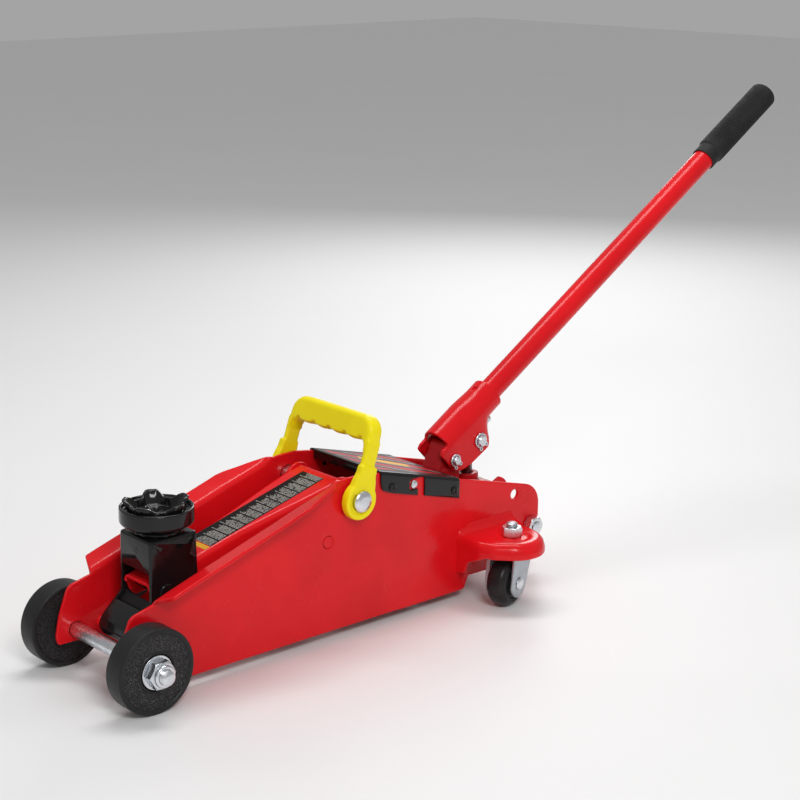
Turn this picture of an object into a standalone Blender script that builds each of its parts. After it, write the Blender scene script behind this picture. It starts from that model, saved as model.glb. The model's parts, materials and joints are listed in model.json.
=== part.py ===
"""Compact hydraulic trolley jack. Lengths are in metres, Z is up, +X runs to the handle."""
import math

import bmesh
import bpy
from mathutils import Matrix, Vector

# ---------------------------------------------------------------- driving dimensions
MM = 0.001
GAP = 0.3 * MM                      # running gap between neighbouring pieces

# wheels and front axle (X is measured from the front axle until the last step)
WHEEL_R = 33.6 * MM
WHEEL_WIDTH = 19.2 * MM
WHEEL_OUTER_Y = 69.2 * MM
AXLE_R = 6.0 * MM
HUB_R = 14.0 * MM
HUB_RECESS = 2.6 * MM
WASHER_R = 13.4 * MM
WASHER_T = 2.2 * MM
FRONT_NUT = (20.5 * MM, 10.5 * MM)  # across flats and height
AXLE_HALF = 85.0 * MM

# side plates
PLATE_T = 3.0 * MM
PLATE_Y = 44.0 * MM                 # outer face of each side plate
PLATE_OUTLINE = [                   # X and Z in millimetres
    (2.0, 23.8), (36.0, 8.5), (340.0, 8.6), (346.0, 19.0), (424.0, 18.0), (440.0, 15.5),
    (432.0, 27.0), (432.0, 66.0), (430.0, 74.0), (424.0, 82.0), (413.0, 88.5), (344.8, 106.0),
    (244.4, 132.4), (222.0, 136.0), (208.7, 136.2), (187.6, 133.0), (150.0, 121.6),
    (96.7, 104.7), (58.2, 92.7), (34.0, 85.1), (16.6, 79.3), (15.8, 75.4), (-3.7, 70.0),
    (-9.5, 63.3), (-12.2, 55.6), (-15.7, 41.7), (-17.5, 31.5), (-16.4, 25.4), (-13.5, 23.8)]
REAR_SLOPE = (11, 12)               # the two outline points that end the straight rear edge
LIP_STATIONS = [                    # fold X and Z, then edge X, Y and Z, in millimetres
    (17.0, 79.3, 21.0, 60.0, 83.6), (34.0, 85.1, 34.0, 60.0, 88.0),
    (58.2, 92.7, 58.2, 60.0, 95.8), (96.7, 104.7, 96.7, 60.0, 108.0),
    (150.0, 121.6, 150.0, 60.0, 125.2), (172.0, 128.2, 172.0, 54.2, 131.6),
    (196.0, 134.5, 196.0, 45.0, 135.0)]
PLATE_TAB = [                       # the folded tab in front of the ear, X and Z in millimetres
    (331.0, 28.5), (335.0, 28.5), (335.0, 52.0), (331.0, 52.0)]
TAB_REACH = 12.0 * MM
REAR_HOLE = (400.8 * MM, 81.8 * MM, 4.3 * MM)

# lifting linkage, points in the XZ plane
ARM_PIVOT = (213.4 * MM, 117.3 * MM)
SADDLE_PIVOT = (43.0 * MM, 72.5 * MM)
ROD_PIVOT = (186.0 * MM, 86.0 * MM)
CRANK_RADIUS = 42.0 * MM
ARM_SWING = math.radians(60.0)
SHAFT_R = 8.0 * MM
ARM_T = 3.0 * MM
ARM_REAR_HALF = 29.0 * MM
ARM_STATIONS = [                    # X, top Z, bottom Z and outer half width in millimetres
    (31.0, 79.5, 66.0, 17.6), (43.0, 82.8, 62.5, 17.6), (95.0, 97.1, 72.0, 17.6),
    (140.0, 109.5, 84.0, 21.5), (180.0, 120.5, 94.0, 25.5), (205.0, 127.4, 98.0, 29.0),
    (218.0, 131.0, 98.0, 29.0)]
CROSS_R = 6.0 * MM                  # crosshead pin
SADDLE_PIN_R = 5.0 * MM
FOOT_PIN_R = 4.0 * MM
ROD_STUB_R = 5.0 * MM
ROD_HEIGHT = 14.0 * MM
ROD_T = 3.0 * MM

# saddle and its bracket
SADDLE_X = 50.1 * MM
SADDLE_R = 29.2 * MM
SADDLE_RIM_Z = 135.2 * MM
SADDLE_LUG_Z = 140.5 * MM
BRACKET_FRONT_X = 28.9 * MM
BRACKET_HALF = 21.2 * MM
BRACKET_TOP_Z = 115.2 * MM
BRACKET_T = 2.8 * MM
BRACKET_SIDE = [                    # cheek outline, X and Z in millimetres
    (73.2, 115.2), (73.2, 79.0), (62.0, 62.0), (40.0, 54.0), (26.0, 38.0), (20.0, 33.5),
    (11.0, 33.5), (8.0, 41.0), (10.0, 48.0), (28.9, 66.0), (28.9, 115.2)]
COLLAR_R = 15.0 * MM
STEM_R = 9.0 * MM
SADDLE_LUGS = 5
FIRST_LUG = 64                      # degrees from +X

# hydraulic unit
RAM_Z = 78.0 * MM
RAM_R = 8.0 * MM
PISTON_R = 11.0 * MM
CYLINDER_R = 17.0 * MM
CYLINDER_X = (262.0 * MM, 336.0 * MM)
ROLLER_R = 9.0 * MM
UNIT_X = (318.0 * MM, 402.0 * MM)
UNIT_TOP_Z = 88.0 * MM
FOOT_Z = (22.0 * MM, 52.0 * MM)     # the base's wide foot between the side plates
UNIT_HALF = 20.0 * MM
PLUNGER_R = 5.0 * MM
PLUNGER_BOSS_Z = 96.0 * MM
VALVE_POINT = (400.0 * MM, -11.0 * MM, 73.0 * MM)
VALVE_AXIS = (math.cos(math.radians(25)), 0.0, math.sin(math.radians(25)))
VALVE_R = 4.5 * MM
VALVE_LENGTH = 21.5 * MM
FILLER_POINT = (352.0 * MM, 15.2 * MM, UNIT_TOP_Z)
FILLER_R = 2.5 * MM
ANCHOR_X = (306.0 * MM, 312.0 * MM)
SPRING_X = (249.0 * MM, 300.0 * MM)
SPRING_Y = 21.5 * MM
SPRING_R = 3.2 * MM
WIRE_R = 0.8 * MM

# pump handle
FULCRUM = (353.8 * MM, 115.5 * MM)
PLUNGER_PIN = (384.0 * MM, 128.0 * MM)
FULCRUM_PIN_R = 4.0 * MM
PLUNGER_PIN_R = 5.0 * MM
PIN_END = 20.5 * MM                 # end of both pins from the middle plane
FULCRUM_SIDE = [                    # outline of the upright, X and Z in millimetres
    (336.0, 88.3), (336.0, 101.0), (346.0, 125.0), (350.0, 131.0), (357.0, 131.0),
    (363.0, 123.0), (366.0, 112.0), (366.0, 88.3)]
FULCRUM_HOLLOW = [
    (339.2, 80.0), (339.2, 100.5), (349.0, 124.0), (353.0, 140.0), (372.0, 140.0),
    (372.0, 80.0)]
FULCRUM_HALF = 10.0 * MM
HANDLE_SLOPE = math.radians(32.7)
HANDLE_OFFSET = 11.1 * MM           # handle axis above the fulcrum
TUBE_R = 10.2 * MM
TUBE_START = 48.0 * MM
GRIP_START = 410.0 * MM
GRIP_END = 516.0 * MM
GRIP_R = 13.0 * MM
SOCKET_IN = 12.6 * MM
SOCKET_OUT = 16.1 * MM
SOCKET_SIDE = [                     # along the handle and below its axis, in millimetres
    (-9.6, -2.0), (-5.6, 19.0), (2.0, 25.0), (10.8, 28.0), (37.0, 29.5), (42.0, 26.0),
    (45.0, 14.0), (49.0, 10.5), (68.0, 8.0), (72.0, 4.0), (72.0, -18.0), (2.0, -18.0),
    (2.0, -5.0), (-6.0, -5.0)]
SET_SCREW_S = 57.0 * MM
SET_SCREW_R = 3.0 * MM

# casters
STUD = (366.0 * MM, 74.5 * MM)      # X and distance from the middle plane
EAR_R = 27.5 * MM
EAR_RIM_Z = 48.0 * MM
EAR_TOP_Z = 60.0 * MM
CASTER_R = 21.5 * MM
CASTER_WIDTH = 18.0 * MM
CASTER_TRAIL = 8.0 * MM
CASTER_TURN = math.radians(15.0)
CASTER_PIN_R = 3.5 * MM
STUD_R = 5.0 * MM
FORK_LEG = (10.8 * MM, 13.3 * MM)   # inner and outer face of a fork leg
FORK_LEG_R = 12.3 * MM              # its round end

# cover and carry handle
COVER_X = (241.0 * MM, 331.0 * MM)
COVER_T = 1.5 * MM
COVER_FLANGE = 18.0 * MM
COVER_LIP = 7.5 * MM                # the flange folded down at the cover's front
CARRY_LEAN = math.radians(71.0)
CARRY_T = 15.0 * MM
CARRY_HUB_R = 16.0 * MM
CARRY_OUTER = [                     # Y and distance from the shaft, in millimetres
    (54.0, 4.0), (54.0, 23.0), (51.8, 28.0), (51.0, 52.0), (49.0, 59.5), (44.5, 65.5),
    (37.0, 68.5)]
CARRY_FINGERS = [(36.0, 45.0), (26.0, 45.0), (19.0, 47.5), (10.0, 45.0), (2.0, 45.5)]
HOOK_SLOT = [                       # the open slot in the cover's flange, X and Z
    (273.0, 121.6), (273.0, 112.2), (282.5, 112.2), (282.5, 98.0), (290.2, 98.0),
    (290.2, 121.0), (284.0, 121.6)]
HOOK_PIN = (277.6 * MM, 116.7 * MM)
HOOK_R = 3.0 * MM
COVER_SCREWS = ((253.4 * MM, 119.4 * MM), (324.7 * MM, 102.1 * MM))
SCREW_R = 2.0 * MM

# rear tie rod
TIE = (421.0 * MM, 49.5 * MM)
TIE_R = 5.0 * MM

ROUND = 20                          # facets round a normal cylinder
SMALL = 12                          # facets round a small pin
SIDES = (("left", -1), ("right", 1))

# ---------------------------------------------------------------- derived dimensions
PLATE_IN = PLATE_Y - PLATE_T
ROD_OFFSET = (ROD_PIVOT[0] - ARM_PIVOT[0], ROD_PIVOT[1] - ARM_PIVOT[1])
FOOT_PIVOT = (SADDLE_PIVOT[0] + ROD_OFFSET[0], SADDLE_PIVOT[1] + ROD_OFFSET[1])
COLLAR_TOP_Z = BRACKET_TOP_Z + 3.5 * MM
CRANK_ANGLE = math.radians(270.0) + ARM_SWING / 2
CRANK_PIN = (ARM_PIVOT[0] + CRANK_RADIUS * math.cos(CRANK_ANGLE),
             ARM_PIVOT[1] + CRANK_RADIUS * math.sin(CRANK_ANGLE))
RAM_TIP_X = CRANK_PIN[0] + ROLLER_R + 0.6 * MM
HANDLE_U = (math.cos(HANDLE_SLOPE), math.sin(HANDLE_SLOPE))
HANDLE_O = (FULCRUM[0] - HANDLE_OFFSET * HANDLE_U[1], FULCRUM[1] + HANDLE_OFFSET * HANDLE_U[0])
GRIP_TIP_X = HANDLE_O[0] + GRIP_END * HANDLE_U[0] + GRIP_R * HANDLE_U[1]
SHIFT_X = (WHEEL_R - GRIP_TIP_X) / 2

MATERIALS = {
    "red_paint": ((0.62, 0.012, 0.014), 0.25, 0.0),
    "black_paint": ((0.012, 0.012, 0.013), 0.3, 0.0),
    "black_plastic": ((0.02, 0.02, 0.021), 0.55, 0.0),
    "zinc": ((0.62, 0.63, 0.65), 0.3, 1.0),
    "steel": ((0.55, 0.55, 0.56), 0.25, 1.0),
    "yellow_plastic": ((0.9, 0.72, 0.02), 0.35, 0.0),
    "grip_rubber": ((0.015, 0.015, 0.016), 0.7, 0.0),
}


# ---------------------------------------------------------------- scene helpers
def clear_scene():
    for old in list(bpy.data.objects):
        bpy.data.objects.remove(old, do_unlink=True)


def new_collection(name, hidden=False):
    group = bpy.data.collections.new(name)
    bpy.context.scene.collection.children.link(group)
    group.hide_render = hidden
    return group


def make_materials():
    made = {}
    for name, (colour, roughness, metallic) in MATERIALS.items():
        material = bpy.data.materials.new(name)
        material.use_nodes = True
        shader = material.node_tree.nodes["Principled BSDF"]
        shader.inputs["Base Color"].default_value = (*colour, 1.0)
        shader.inputs["Roughness"].default_value = roughness
        shader.inputs["Metallic"].default_value = metallic
        made[name] = material
    return made


def finish_mesh(name, mesh_data, group, material=None, smooth=False):
    bmesh.ops.recalc_face_normals(mesh_data, faces=mesh_data.faces)
    mesh = bpy.data.meshes.new(name)
    mesh_data.to_mesh(mesh)
    mesh_data.free()
    if smooth:
        mesh.shade_smooth()
    item = bpy.data.objects.new(name, mesh)
    group.objects.link(item)
    if material:
        mesh.materials.append(PAINT[material])
    else:
        item.display_type = "WIRE"
        item.hide_render = True
    return item


def part(name, mesh_data, material, smooth=False):
    return finish_mesh(name, mesh_data, PARTS, material, smooth)


def cutter(mesh_data):
    return finish_mesh("cutter", mesh_data, CUTTERS)


def boolean(item, tool, operation="DIFFERENCE"):
    modifier = item.modifiers.new(operation.lower(), "BOOLEAN")
    modifier.operation = operation
    modifier.solver = "EXACT"
    modifier.object = tool


def set_origin(item, point):
    """Moves the object's origin to a point without moving its surface."""
    offset = Vector(point)
    item.data.transform(Matrix.Translation(-offset))
    item.location = offset


def xz(point, y=0.0):
    return (point[0], y, point[1])


def in_metres(outline):
    return [(a * MM, b * MM) for a, b in outline]


# ---------------------------------------------------------------- shape helpers
def lofted(rings, closed_ends=True):
    """A body from rings of equal length, each a loop of points."""
    data = bmesh.new()
    loops = [[data.verts.new(p) for p in ring] for ring in rings]
    count = len(rings[0])
    for low, high in zip(loops, loops[1:]):
        for i in range(count):
            j = (i + 1) % count
            data.faces.new((low[i], low[j], high[j], high[i]))
    if closed_ends:
        data.faces.new(loops[0])
        data.faces.new(loops[-1])
    else:
        for i in range(count):
            j = (i + 1) % count
            data.faces.new((loops[-1][i], loops[-1][j], loops[0][j], loops[0][i]))
    return data


def prism_y(outline, low, high):
    """Extrudes an XZ outline from one Y to another."""
    return lofted([[(x, y, z) for x, z in outline] for y in (low, high)])


def prism_z(outline, low, high):
    """Extrudes an XY outline from one Z to another."""
    return lofted([[(x, y, z) for x, y in outline] for z in (low, high)])


def box(x, y, z):
    return prism_z([(x[0], y[0]), (x[1], y[0]), (x[1], y[1]), (x[0], y[1])], z[0], z[1])


def arc(centre, radius, start, end, count):
    """Points of an arc in degrees, both ends included."""
    step = math.radians(end - start) / (count - 1)
    first = math.radians(start)
    return [(centre[0] + radius * math.cos(first + step * i),
             centre[1] + radius * math.sin(first + step * i)) for i in range(count)]


def turned(profile, centre, direction, facets=ROUND, closed=False):
    """Turns (radius, height) pairs round an axis; the height runs along the direction."""
    turn = Vector((0, 0, 1)).rotation_difference(Vector(direction).normalized()).to_matrix()
    rings = []
    for radius, height in profile:
        ring = []
        for i in range(facets):
            angle = 2 * math.pi * i / facets
            point = Vector((radius * math.cos(angle), radius * math.sin(angle), height))
            ring.append(turn @ point + Vector(centre))
        rings.append(ring)
    return lofted(rings, closed_ends=not closed)


def rod(centre, direction, radius, low, high, facets=SMALL):
    return turned([(radius, low), (radius, high)], centre, direction, facets)


def tube(centre, direction, inner, outer, low, high, facets=ROUND):
    profile = [(outer, low), (outer, high), (inner, high), (inner, low)]
    return turned(profile, centre, direction, facets, closed=True)


def hex_nut(centre, direction, across, bore, low, high):
    """A nut: a hexagon outside and a round bore inside, both with 12 facets."""
    turn = Vector((0, 0, 1)).rotation_difference(Vector(direction).normalized()).to_matrix()
    rings = []
    for outside, height in ((True, low), (True, high), (False, high), (False, low)):
        ring = []
        for i in range(12):
            angle = 2 * math.pi * i / 12
            side = (angle % (math.pi / 3)) - math.pi / 6
            radius = across / 2 / math.cos(side) if outside else bore
            point = Vector((radius * math.cos(angle), radius * math.sin(angle), height))
            ring.append(turn @ point + Vector(centre))
        rings.append(ring)
    return lofted(rings, closed_ends=False)


def swept(points, radius, facets):
    """A round wire along a list of points."""
    path = [Vector(p) for p in points]
    rings = []
    side = Vector((0, 1, 0))
    for i, point in enumerate(path):
        along = (path[min(i + 1, len(path) - 1)] - path[max(i - 1, 0)]).normalized()
        side = (side - along * side.dot(along)).normalized()
        up = along.cross(side)
        angles = [2 * math.pi * k / facets for k in range(facets)]
        rings.append([point + radius * (math.cos(a) * side + math.sin(a) * up) for a in angles])
    return lofted(rings)


def drill(item, centre, direction, radius, depth, facets=SMALL):
    boolean(item, cutter(rod(centre, direction, radius, -depth, depth, facets)))


def hull_outline(a, radius_a, b, radius_b, count):
    """The outline of two discs and the straight tangents that join them."""
    angle = math.degrees(math.atan2(b[1] - a[1], b[0] - a[0]))
    distance = math.hypot(b[0] - a[0], b[1] - a[1])
    spread = math.degrees(math.acos((radius_a - radius_b) / distance))
    first = arc(a, radius_a, angle + spread, angle + 360 - spread, count)
    return first + arc(b, radius_b, angle - spread, angle + spread, count)


# ---------------------------------------------------------------- side plates
def lip_body(side):
    """The outward flange along the sloping top edge."""
    rings = []
    inside = side * (PLATE_IN + 0.4 * MM)
    thick = PLATE_T * 0.9
    for station in LIP_STATIONS:
        x, z, edge_x, edge_y, edge_z = (value * MM for value in station)
        edge_y *= side
        rings.append([(x, inside, z - 0.2 * MM), (edge_x, edge_y, edge_z),
                      (edge_x, edge_y, edge_z - thick), (x, inside, z - thick)])
    return lofted(rings)


def ear_outline(inset, side):
    """Plan of the caster ear: an outer arc, a square front and a sloping rear side."""
    root = PLATE_Y - 1.2 * MM
    front = 331.0 * MM + inset
    points = [(front, root), (front + 0.5 * MM, 70.0 * MM), (front + 5 * MM, 83 * MM - inset / 2)]
    points += arc(STUD, EAR_R - inset, 140, -15, 11)
    points += [(404.0 * MM - inset, root)]
    return [(x, side * y) for x, y in points]


def ear_body(side):
    levels = ((EAR_RIM_Z / MM, 0.0), (52.0, 0.0), (57.0, 2.0), (59.4, 5.0),
              (EAR_TOP_Z / MM, 8.5))
    return lofted([[(x, y, z * MM) for x, y in ear_outline(inset * MM, side)]
                   for z, inset in levels])


def ear_hollow(side):
    """The space under the ear, open below."""
    levels = ((EAR_RIM_Z / MM - 2.0, 3.0), (52.0, 3.0), (57.0, 6.0))
    rings = []
    for z, inset in levels:
        outline = ear_outline(inset * MM, side)
        limit = PLATE_Y + 0.1 * MM
        rings.append([(x, side * max(abs(y), limit), z * MM) for x, y in outline])
    return lofted(rings)


def make_side_plate(name, side):
    outline = in_metres(PLATE_OUTLINE)
    plate = part(name, prism_y(outline, side * PLATE_IN, side * PLATE_Y), "red_paint")
    boolean(plate, cutter(lip_body(side)), "UNION")
    boolean(plate, cutter(ear_body(side)), "UNION")
    tab_y = sorted((side * (PLATE_Y - 1.0 * MM), side * (PLATE_Y + TAB_REACH)))
    boolean(plate, cutter(prism_y(in_metres(PLATE_TAB), *tab_y)), "UNION")
    boolean(plate, cutter(ear_hollow(side)))
    middle = side * (PLATE_Y - PLATE_T / 2)
    holes = ((0.0, WHEEL_R, AXLE_R + GAP), (*ARM_PIVOT, SHAFT_R + GAP), (*TIE, TIE_R + GAP),
             (*ROD_PIVOT, ROD_STUB_R + GAP), REAR_HOLE)
    for x, z, radius in holes:
        drill(plate, (x, middle, z), (0, 1, 0), radius, 6 * MM)
    for x, z in COVER_SCREWS:
        drill(plate, (x, middle, z), (0, 1, 0), SCREW_R + GAP, 6 * MM, 14)
    drill(plate, xz(HOOK_PIN, middle), (0, 1, 0), HOOK_R + GAP, 6 * MM, 14)
    drill(plate, (STUD[0], side * STUD[1], EAR_TOP_Z), (0, 0, 1), STUD_R + GAP, 8 * MM)


# ---------------------------------------------------------------- front wheels and ties
def make_front_wheel(name, side):
    inner = WHEEL_OUTER_Y - WHEEL_WIDTH
    bore = AXLE_R + 0.4 * MM
    shoulder = 3.0 * MM
    profile = [
        (bore, PLATE_Y + GAP), (HUB_R * 0.8, PLATE_Y + GAP), (HUB_R * 0.8, inner),
        (WHEEL_R - shoulder, inner), (WHEEL_R, inner + shoulder),
        (WHEEL_R, WHEEL_OUTER_Y - shoulder), (WHEEL_R - shoulder, WHEEL_OUTER_Y),
        (HUB_R + 1.5 * MM, WHEEL_OUTER_Y), (HUB_R, WHEEL_OUTER_Y - HUB_RECESS),
        (bore, WHEEL_OUTER_Y - HUB_RECESS)]
    body = turned(profile, (0, 0, WHEEL_R), (0, side, 0), 28, closed=True)
    wheel = part(name, body, "black_plastic", True)
    set_origin(wheel, (0, 0, WHEEL_R))


def make_front_end():
    reach = AXLE_HALF
    axle = [(AXLE_R - 1 * MM, -reach), (AXLE_R, -reach + 1 * MM),
            (AXLE_R, reach - 1 * MM), (AXLE_R - 1 * MM, reach)]
    part("front_axle", turned(axle, (0, 0, WHEEL_R), (0, 1, 0), 16), "zinc", True)
    for name, side in SIDES:
        make_front_wheel("front_wheel_" + name, side)
        start = WHEEL_OUTER_Y - HUB_RECESS + GAP
        direction = (0, side, 0)
        washer = tube((0, 0, WHEEL_R), direction, AXLE_R + GAP, WASHER_R, start, start + WASHER_T)
        part("front_washer_" + name, washer, "zinc")
        low = start + WASHER_T + GAP
        across, height = FRONT_NUT
        nut = hex_nut((0, 0, WHEEL_R), direction, across, AXLE_R + GAP, low, low + height)
        part("front_nut_" + name, nut, "zinc")


def make_tie_rod():
    reach = PLATE_Y + 9.5 * MM
    part("rear_tie_rod", rod(xz(TIE), (0, 1, 0), TIE_R, -reach, reach), "zinc", True)
    for name, side in SIDES:
        low = PLATE_Y + GAP
        nut = hex_nut(xz(TIE), (0, side, 0), 16 * MM, TIE_R + GAP, low, low + 7.5 * MM)
        part("tie_rod_nut_" + name, nut, "zinc")


# ---------------------------------------------------------------- lifting linkage
def make_lift_arm():
    rings = []
    for x, top, bottom, half in ARM_STATIONS:
        x, top, bottom, half = (value * MM for value in (x, top, bottom, half))
        inner = half - ARM_T
        ceiling = top - ARM_T
        rings.append([(x, -half, bottom), (x, -half, top), (x, half, top), (x, half, bottom),
                      (x, inner, bottom), (x, inner, ceiling), (x, -inner, ceiling),
                      (x, -inner, bottom)])
    arm = part("lift_arm", lofted(rings), "red_paint")
    outline = hull_outline(ARM_PIVOT, 14 * MM, CRANK_PIN, 11 * MM, 9)
    for side in (-1, 1):
        near = side * (ARM_REAR_HALF - ARM_T - 0.2 * MM)
        far = side * (ARM_REAR_HALF - 0.2 * MM)
        boolean(arm, cutter(prism_y(outline, near, far)), "UNION")
    drill(arm, xz(ARM_PIVOT), (0, 1, 0), SHAFT_R + GAP, 40 * MM, 24)
    drill(arm, xz(CRANK_PIN), (0, 1, 0), CROSS_R + GAP, 40 * MM)
    drill(arm, xz(SADDLE_PIVOT), (0, 1, 0), SADDLE_PIN_R + GAP, 40 * MM)
    set_origin(arm, xz(ARM_PIVOT))


def headed_pin(name, point, radius, head, half_length, head_t, material, facets=SMALL):
    """A pin across the middle plane with a round head at each end."""
    outer = half_length + head_t
    profile = [(head * 0.7, -outer), (head, -half_length - head_t * 0.4), (head, -half_length),
               (radius, -half_length), (radius, half_length), (head, half_length),
               (head, half_length + head_t * 0.4), (head * 0.7, outer)]
    return part(name, turned(profile, xz(point), (0, 1, 0), facets), material, True)


def make_linkage_pins():
    headed_pin("arm_shaft", ARM_PIVOT, SHAFT_R, 9.6 * MM, 54.4 * MM, 3.6 * MM, "steel", 24)
    reach = ARM_REAR_HALF + 0.2 * MM
    part("crosshead_pin", rod(xz(CRANK_PIN), (0, 1, 0), CROSS_R, -reach, reach), "steel", True)
    roller = tube(xz(CRANK_PIN), (0, 1, 0), CROSS_R + GAP, ROLLER_R, -9 * MM, 9 * MM, 24)
    part("crosshead_roller", roller, "steel", True)
    half = BRACKET_HALF + GAP
    headed_pin("saddle_pin", SADDLE_PIVOT, SADDLE_PIN_R, 6.5 * MM, half, 2 * MM, "steel")
    headed_pin("foot_pin", FOOT_PIVOT, FOOT_PIN_R, 6.0 * MM, half + ROD_T + 2 * GAP, 2 * MM, "steel")


def make_radius_rod(name, side):
    """A flat bar, set closer to the middle plane at its front end than at its rear end."""
    front = side * (BRACKET_HALF + GAP + ROD_T / 2 + GAP)
    rear = side * 32.5 * MM
    length = math.dist(FOOT_PIVOT, ROD_PIVOT)
    u = ((ROD_PIVOT[0] - FOOT_PIVOT[0]) / length, (ROD_PIVOT[1] - FOOT_PIVOT[1]) / length)
    end = ROD_HEIGHT / 2
    path = [(-end, 0.35, front), (-end * 0.7, 0.75, front), (0.0, 1.0, front),
            (70 * MM, 1.0, front), (110 * MM, 1.0, rear), (length, 1.0, rear),
            (length + end * 0.7, 0.75, rear), (length + end, 0.35, rear)]
    rings = []
    for s, share, y in path:
        x = FOOT_PIVOT[0] + u[0] * s
        z = FOOT_PIVOT[1] + u[1] * s
        dx, dz = -u[1] * end * share, u[0] * end * share
        inner, outer = y - side * ROD_T / 2, y + side * ROD_T / 2
        rings.append([(x - dx, inner, z - dz), (x + dx, inner, z + dz),
                      (x + dx, outer, z + dz), (x - dx, outer, z - dz)])
    bar = part(name, lofted(rings), "red_paint")
    drill(bar, xz(FOOT_PIVOT), (0, 1, 0), FOOT_PIN_R + GAP, 50 * MM)
    drill(bar, xz(ROD_PIVOT), (0, 1, 0), ROD_STUB_R + GAP, 50 * MM)
    set_origin(bar, xz(ROD_PIVOT))


def make_rod_pivot(name, side):
    """A shouldered stub riveted in the side plate; the radius rod turns on it."""
    profile = [(ROD_STUB_R + 2 * MM, 29.6 * MM), (ROD_STUB_R + 2 * MM, 30.7 * MM),
               (ROD_STUB_R, 30.7 * MM), (ROD_STUB_R, 34.4 * MM), (ROD_STUB_R + 3 * MM, 34.4 * MM),
               (ROD_STUB_R + 3 * MM, PLATE_IN - GAP), (ROD_STUB_R, PLATE_IN - GAP),
               (ROD_STUB_R, PLATE_Y)]
    part(name, turned(profile, xz(ROD_PIVOT), (0, side, 0), SMALL), "steel", True)


def make_saddle_bracket():
    """A box channel, open at the rear, with a window in front and a foot for the radius rods."""
    body = prism_y(in_metres(BRACKET_SIDE), -BRACKET_HALF, BRACKET_HALF)
    bracket = part("saddle_bracket", body, "black_paint")
    inner = BRACKET_HALF - BRACKET_T
    hollow = [(33, 111.6), (31.9, 66.0), (13.0, 46.5), (13.0, 28.0), (80.0, 28.0), (80.0, 111.6)]
    boolean(bracket, cutter(prism_y(in_metres(hollow), -inner, inner)))
    window = box((BRACKET_FRONT_X - 5 * MM, 45 * MM), (-inner + GAP, inner - GAP),
                 (63 * MM, 88 * MM))
    boolean(bracket, cutter(window))
    collar = rod((SADDLE_X, 0, 0), (0, 0, 1), COLLAR_R, BRACKET_TOP_Z - 2 * MM, COLLAR_TOP_Z, 24)
    boolean(bracket, cutter(collar), "UNION")
    drill(bracket, (SADDLE_X, 0, BRACKET_TOP_Z), (0, 0, 1), STEM_R + GAP, 9 * MM, 24)
    drill(bracket, xz(SADDLE_PIVOT), (0, 1, 0), SADDLE_PIN_R + GAP, 40 * MM)
    drill(bracket, xz(FOOT_PIVOT), (0, 1, 0), FOOT_PIN_R + GAP, 40 * MM)
    set_origin(bracket, xz(SADDLE_PIVOT))


def make_saddle():
    """A deep cup on a stem, with raised lugs inside its rim."""
    base = COLLAR_TOP_Z + GAP
    floor = SADDLE_RIM_Z - 5 * MM
    profile = [(STEM_R, BRACKET_TOP_Z - 4.7 * MM), (STEM_R, base), (COLLAR_R, base),
               (SADDLE_R - 5 * MM, base + 1.4 * MM), (SADDLE_R - 0.8 * MM, base + 3.4 * MM),
               (SADDLE_R, base + 4.6 * MM), (SADDLE_R, SADDLE_RIM_Z - 1 * MM),
               (SADDLE_R - 1 * MM, SADDLE_RIM_Z), (SADDLE_R - 6 * MM, SADDLE_RIM_Z),
               (SADDLE_R - 8 * MM, floor)]
    saddle = part("saddle", turned(profile, (SADDLE_X, 0, 0), (0, 0, 1), 28), "black_paint", True)
    for i in range(SADDLE_LUGS):
        middle = FIRST_LUG + 360 / SADDLE_LUGS * i
        outline = arc((0, 0), SADDLE_R - 2 * MM, middle - 17, middle + 17, 6)
        outline += arc((0, 0), SADDLE_R - 8.5 * MM, middle + 15, middle - 15, 4)
        outline = [(x + SADDLE_X, y) for x, y in outline]
        boolean(saddle, cutter(prism_z(outline, floor - 1 * MM, SADDLE_LUG_Z)), "UNION")
    set_origin(saddle, (SADDLE_X, 0, SADDLE_RIM_Z))


# ---------------------------------------------------------------- hydraulic unit
def make_power_unit():
    """The pump and reservoir casting, with the bores of everything that sits in it."""
    base = box(UNIT_X, (-PLATE_IN + GAP, PLATE_IN - GAP), FOOT_Z)
    unit = part("power_unit_base", base, "red_paint")
    start = UNIT_X[0] + 2 * MM
    upper = box((start, UNIT_X[1] - 2 * MM), (-UNIT_HALF, UNIT_HALF),
                (FOOT_Z[1] - 2 * MM, UNIT_TOP_Z))
    boolean(unit, cutter(upper), "UNION")
    housing = box((start, CYLINDER_X[1] - 1 * MM), (-UNIT_HALF, UNIT_HALF),
                  (UNIT_TOP_Z - 5 * MM, RAM_Z + 20 * MM))
    boolean(unit, cutter(housing), "UNION")
    boss = rod((PLUNGER_PIN[0], 0, 0), (0, 0, 1), 10.5 * MM, UNIT_TOP_Z - 2 * MM,
               PLUNGER_BOSS_Z, 24)
    boolean(unit, cutter(boss), "UNION")
    valve_boss = rod(VALVE_POINT, VALVE_AXIS, 9 * MM, -12 * MM, 6 * MM, 20)
    boolean(unit, cutter(valve_boss), "UNION")
    drill(unit, VALVE_POINT, VALVE_AXIS, VALVE_R + GAP, 8 * MM)
    drill(unit, (PLUNGER_PIN[0], 0, PLUNGER_BOSS_Z), (0, 0, 1), PLUNGER_R + GAP, 57 * MM, 20)
    barrel = (CYLINDER_X[1], 0, RAM_Z)
    drill(unit, barrel, (1, 0, 0), CYLINDER_R + GAP, CYLINDER_X[1] - UNIT_X[0] + 4 * MM, 24)
    drill(unit, FILLER_POINT, (0, 0, 1), FILLER_R + GAP, 9 * MM, 12)


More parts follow.
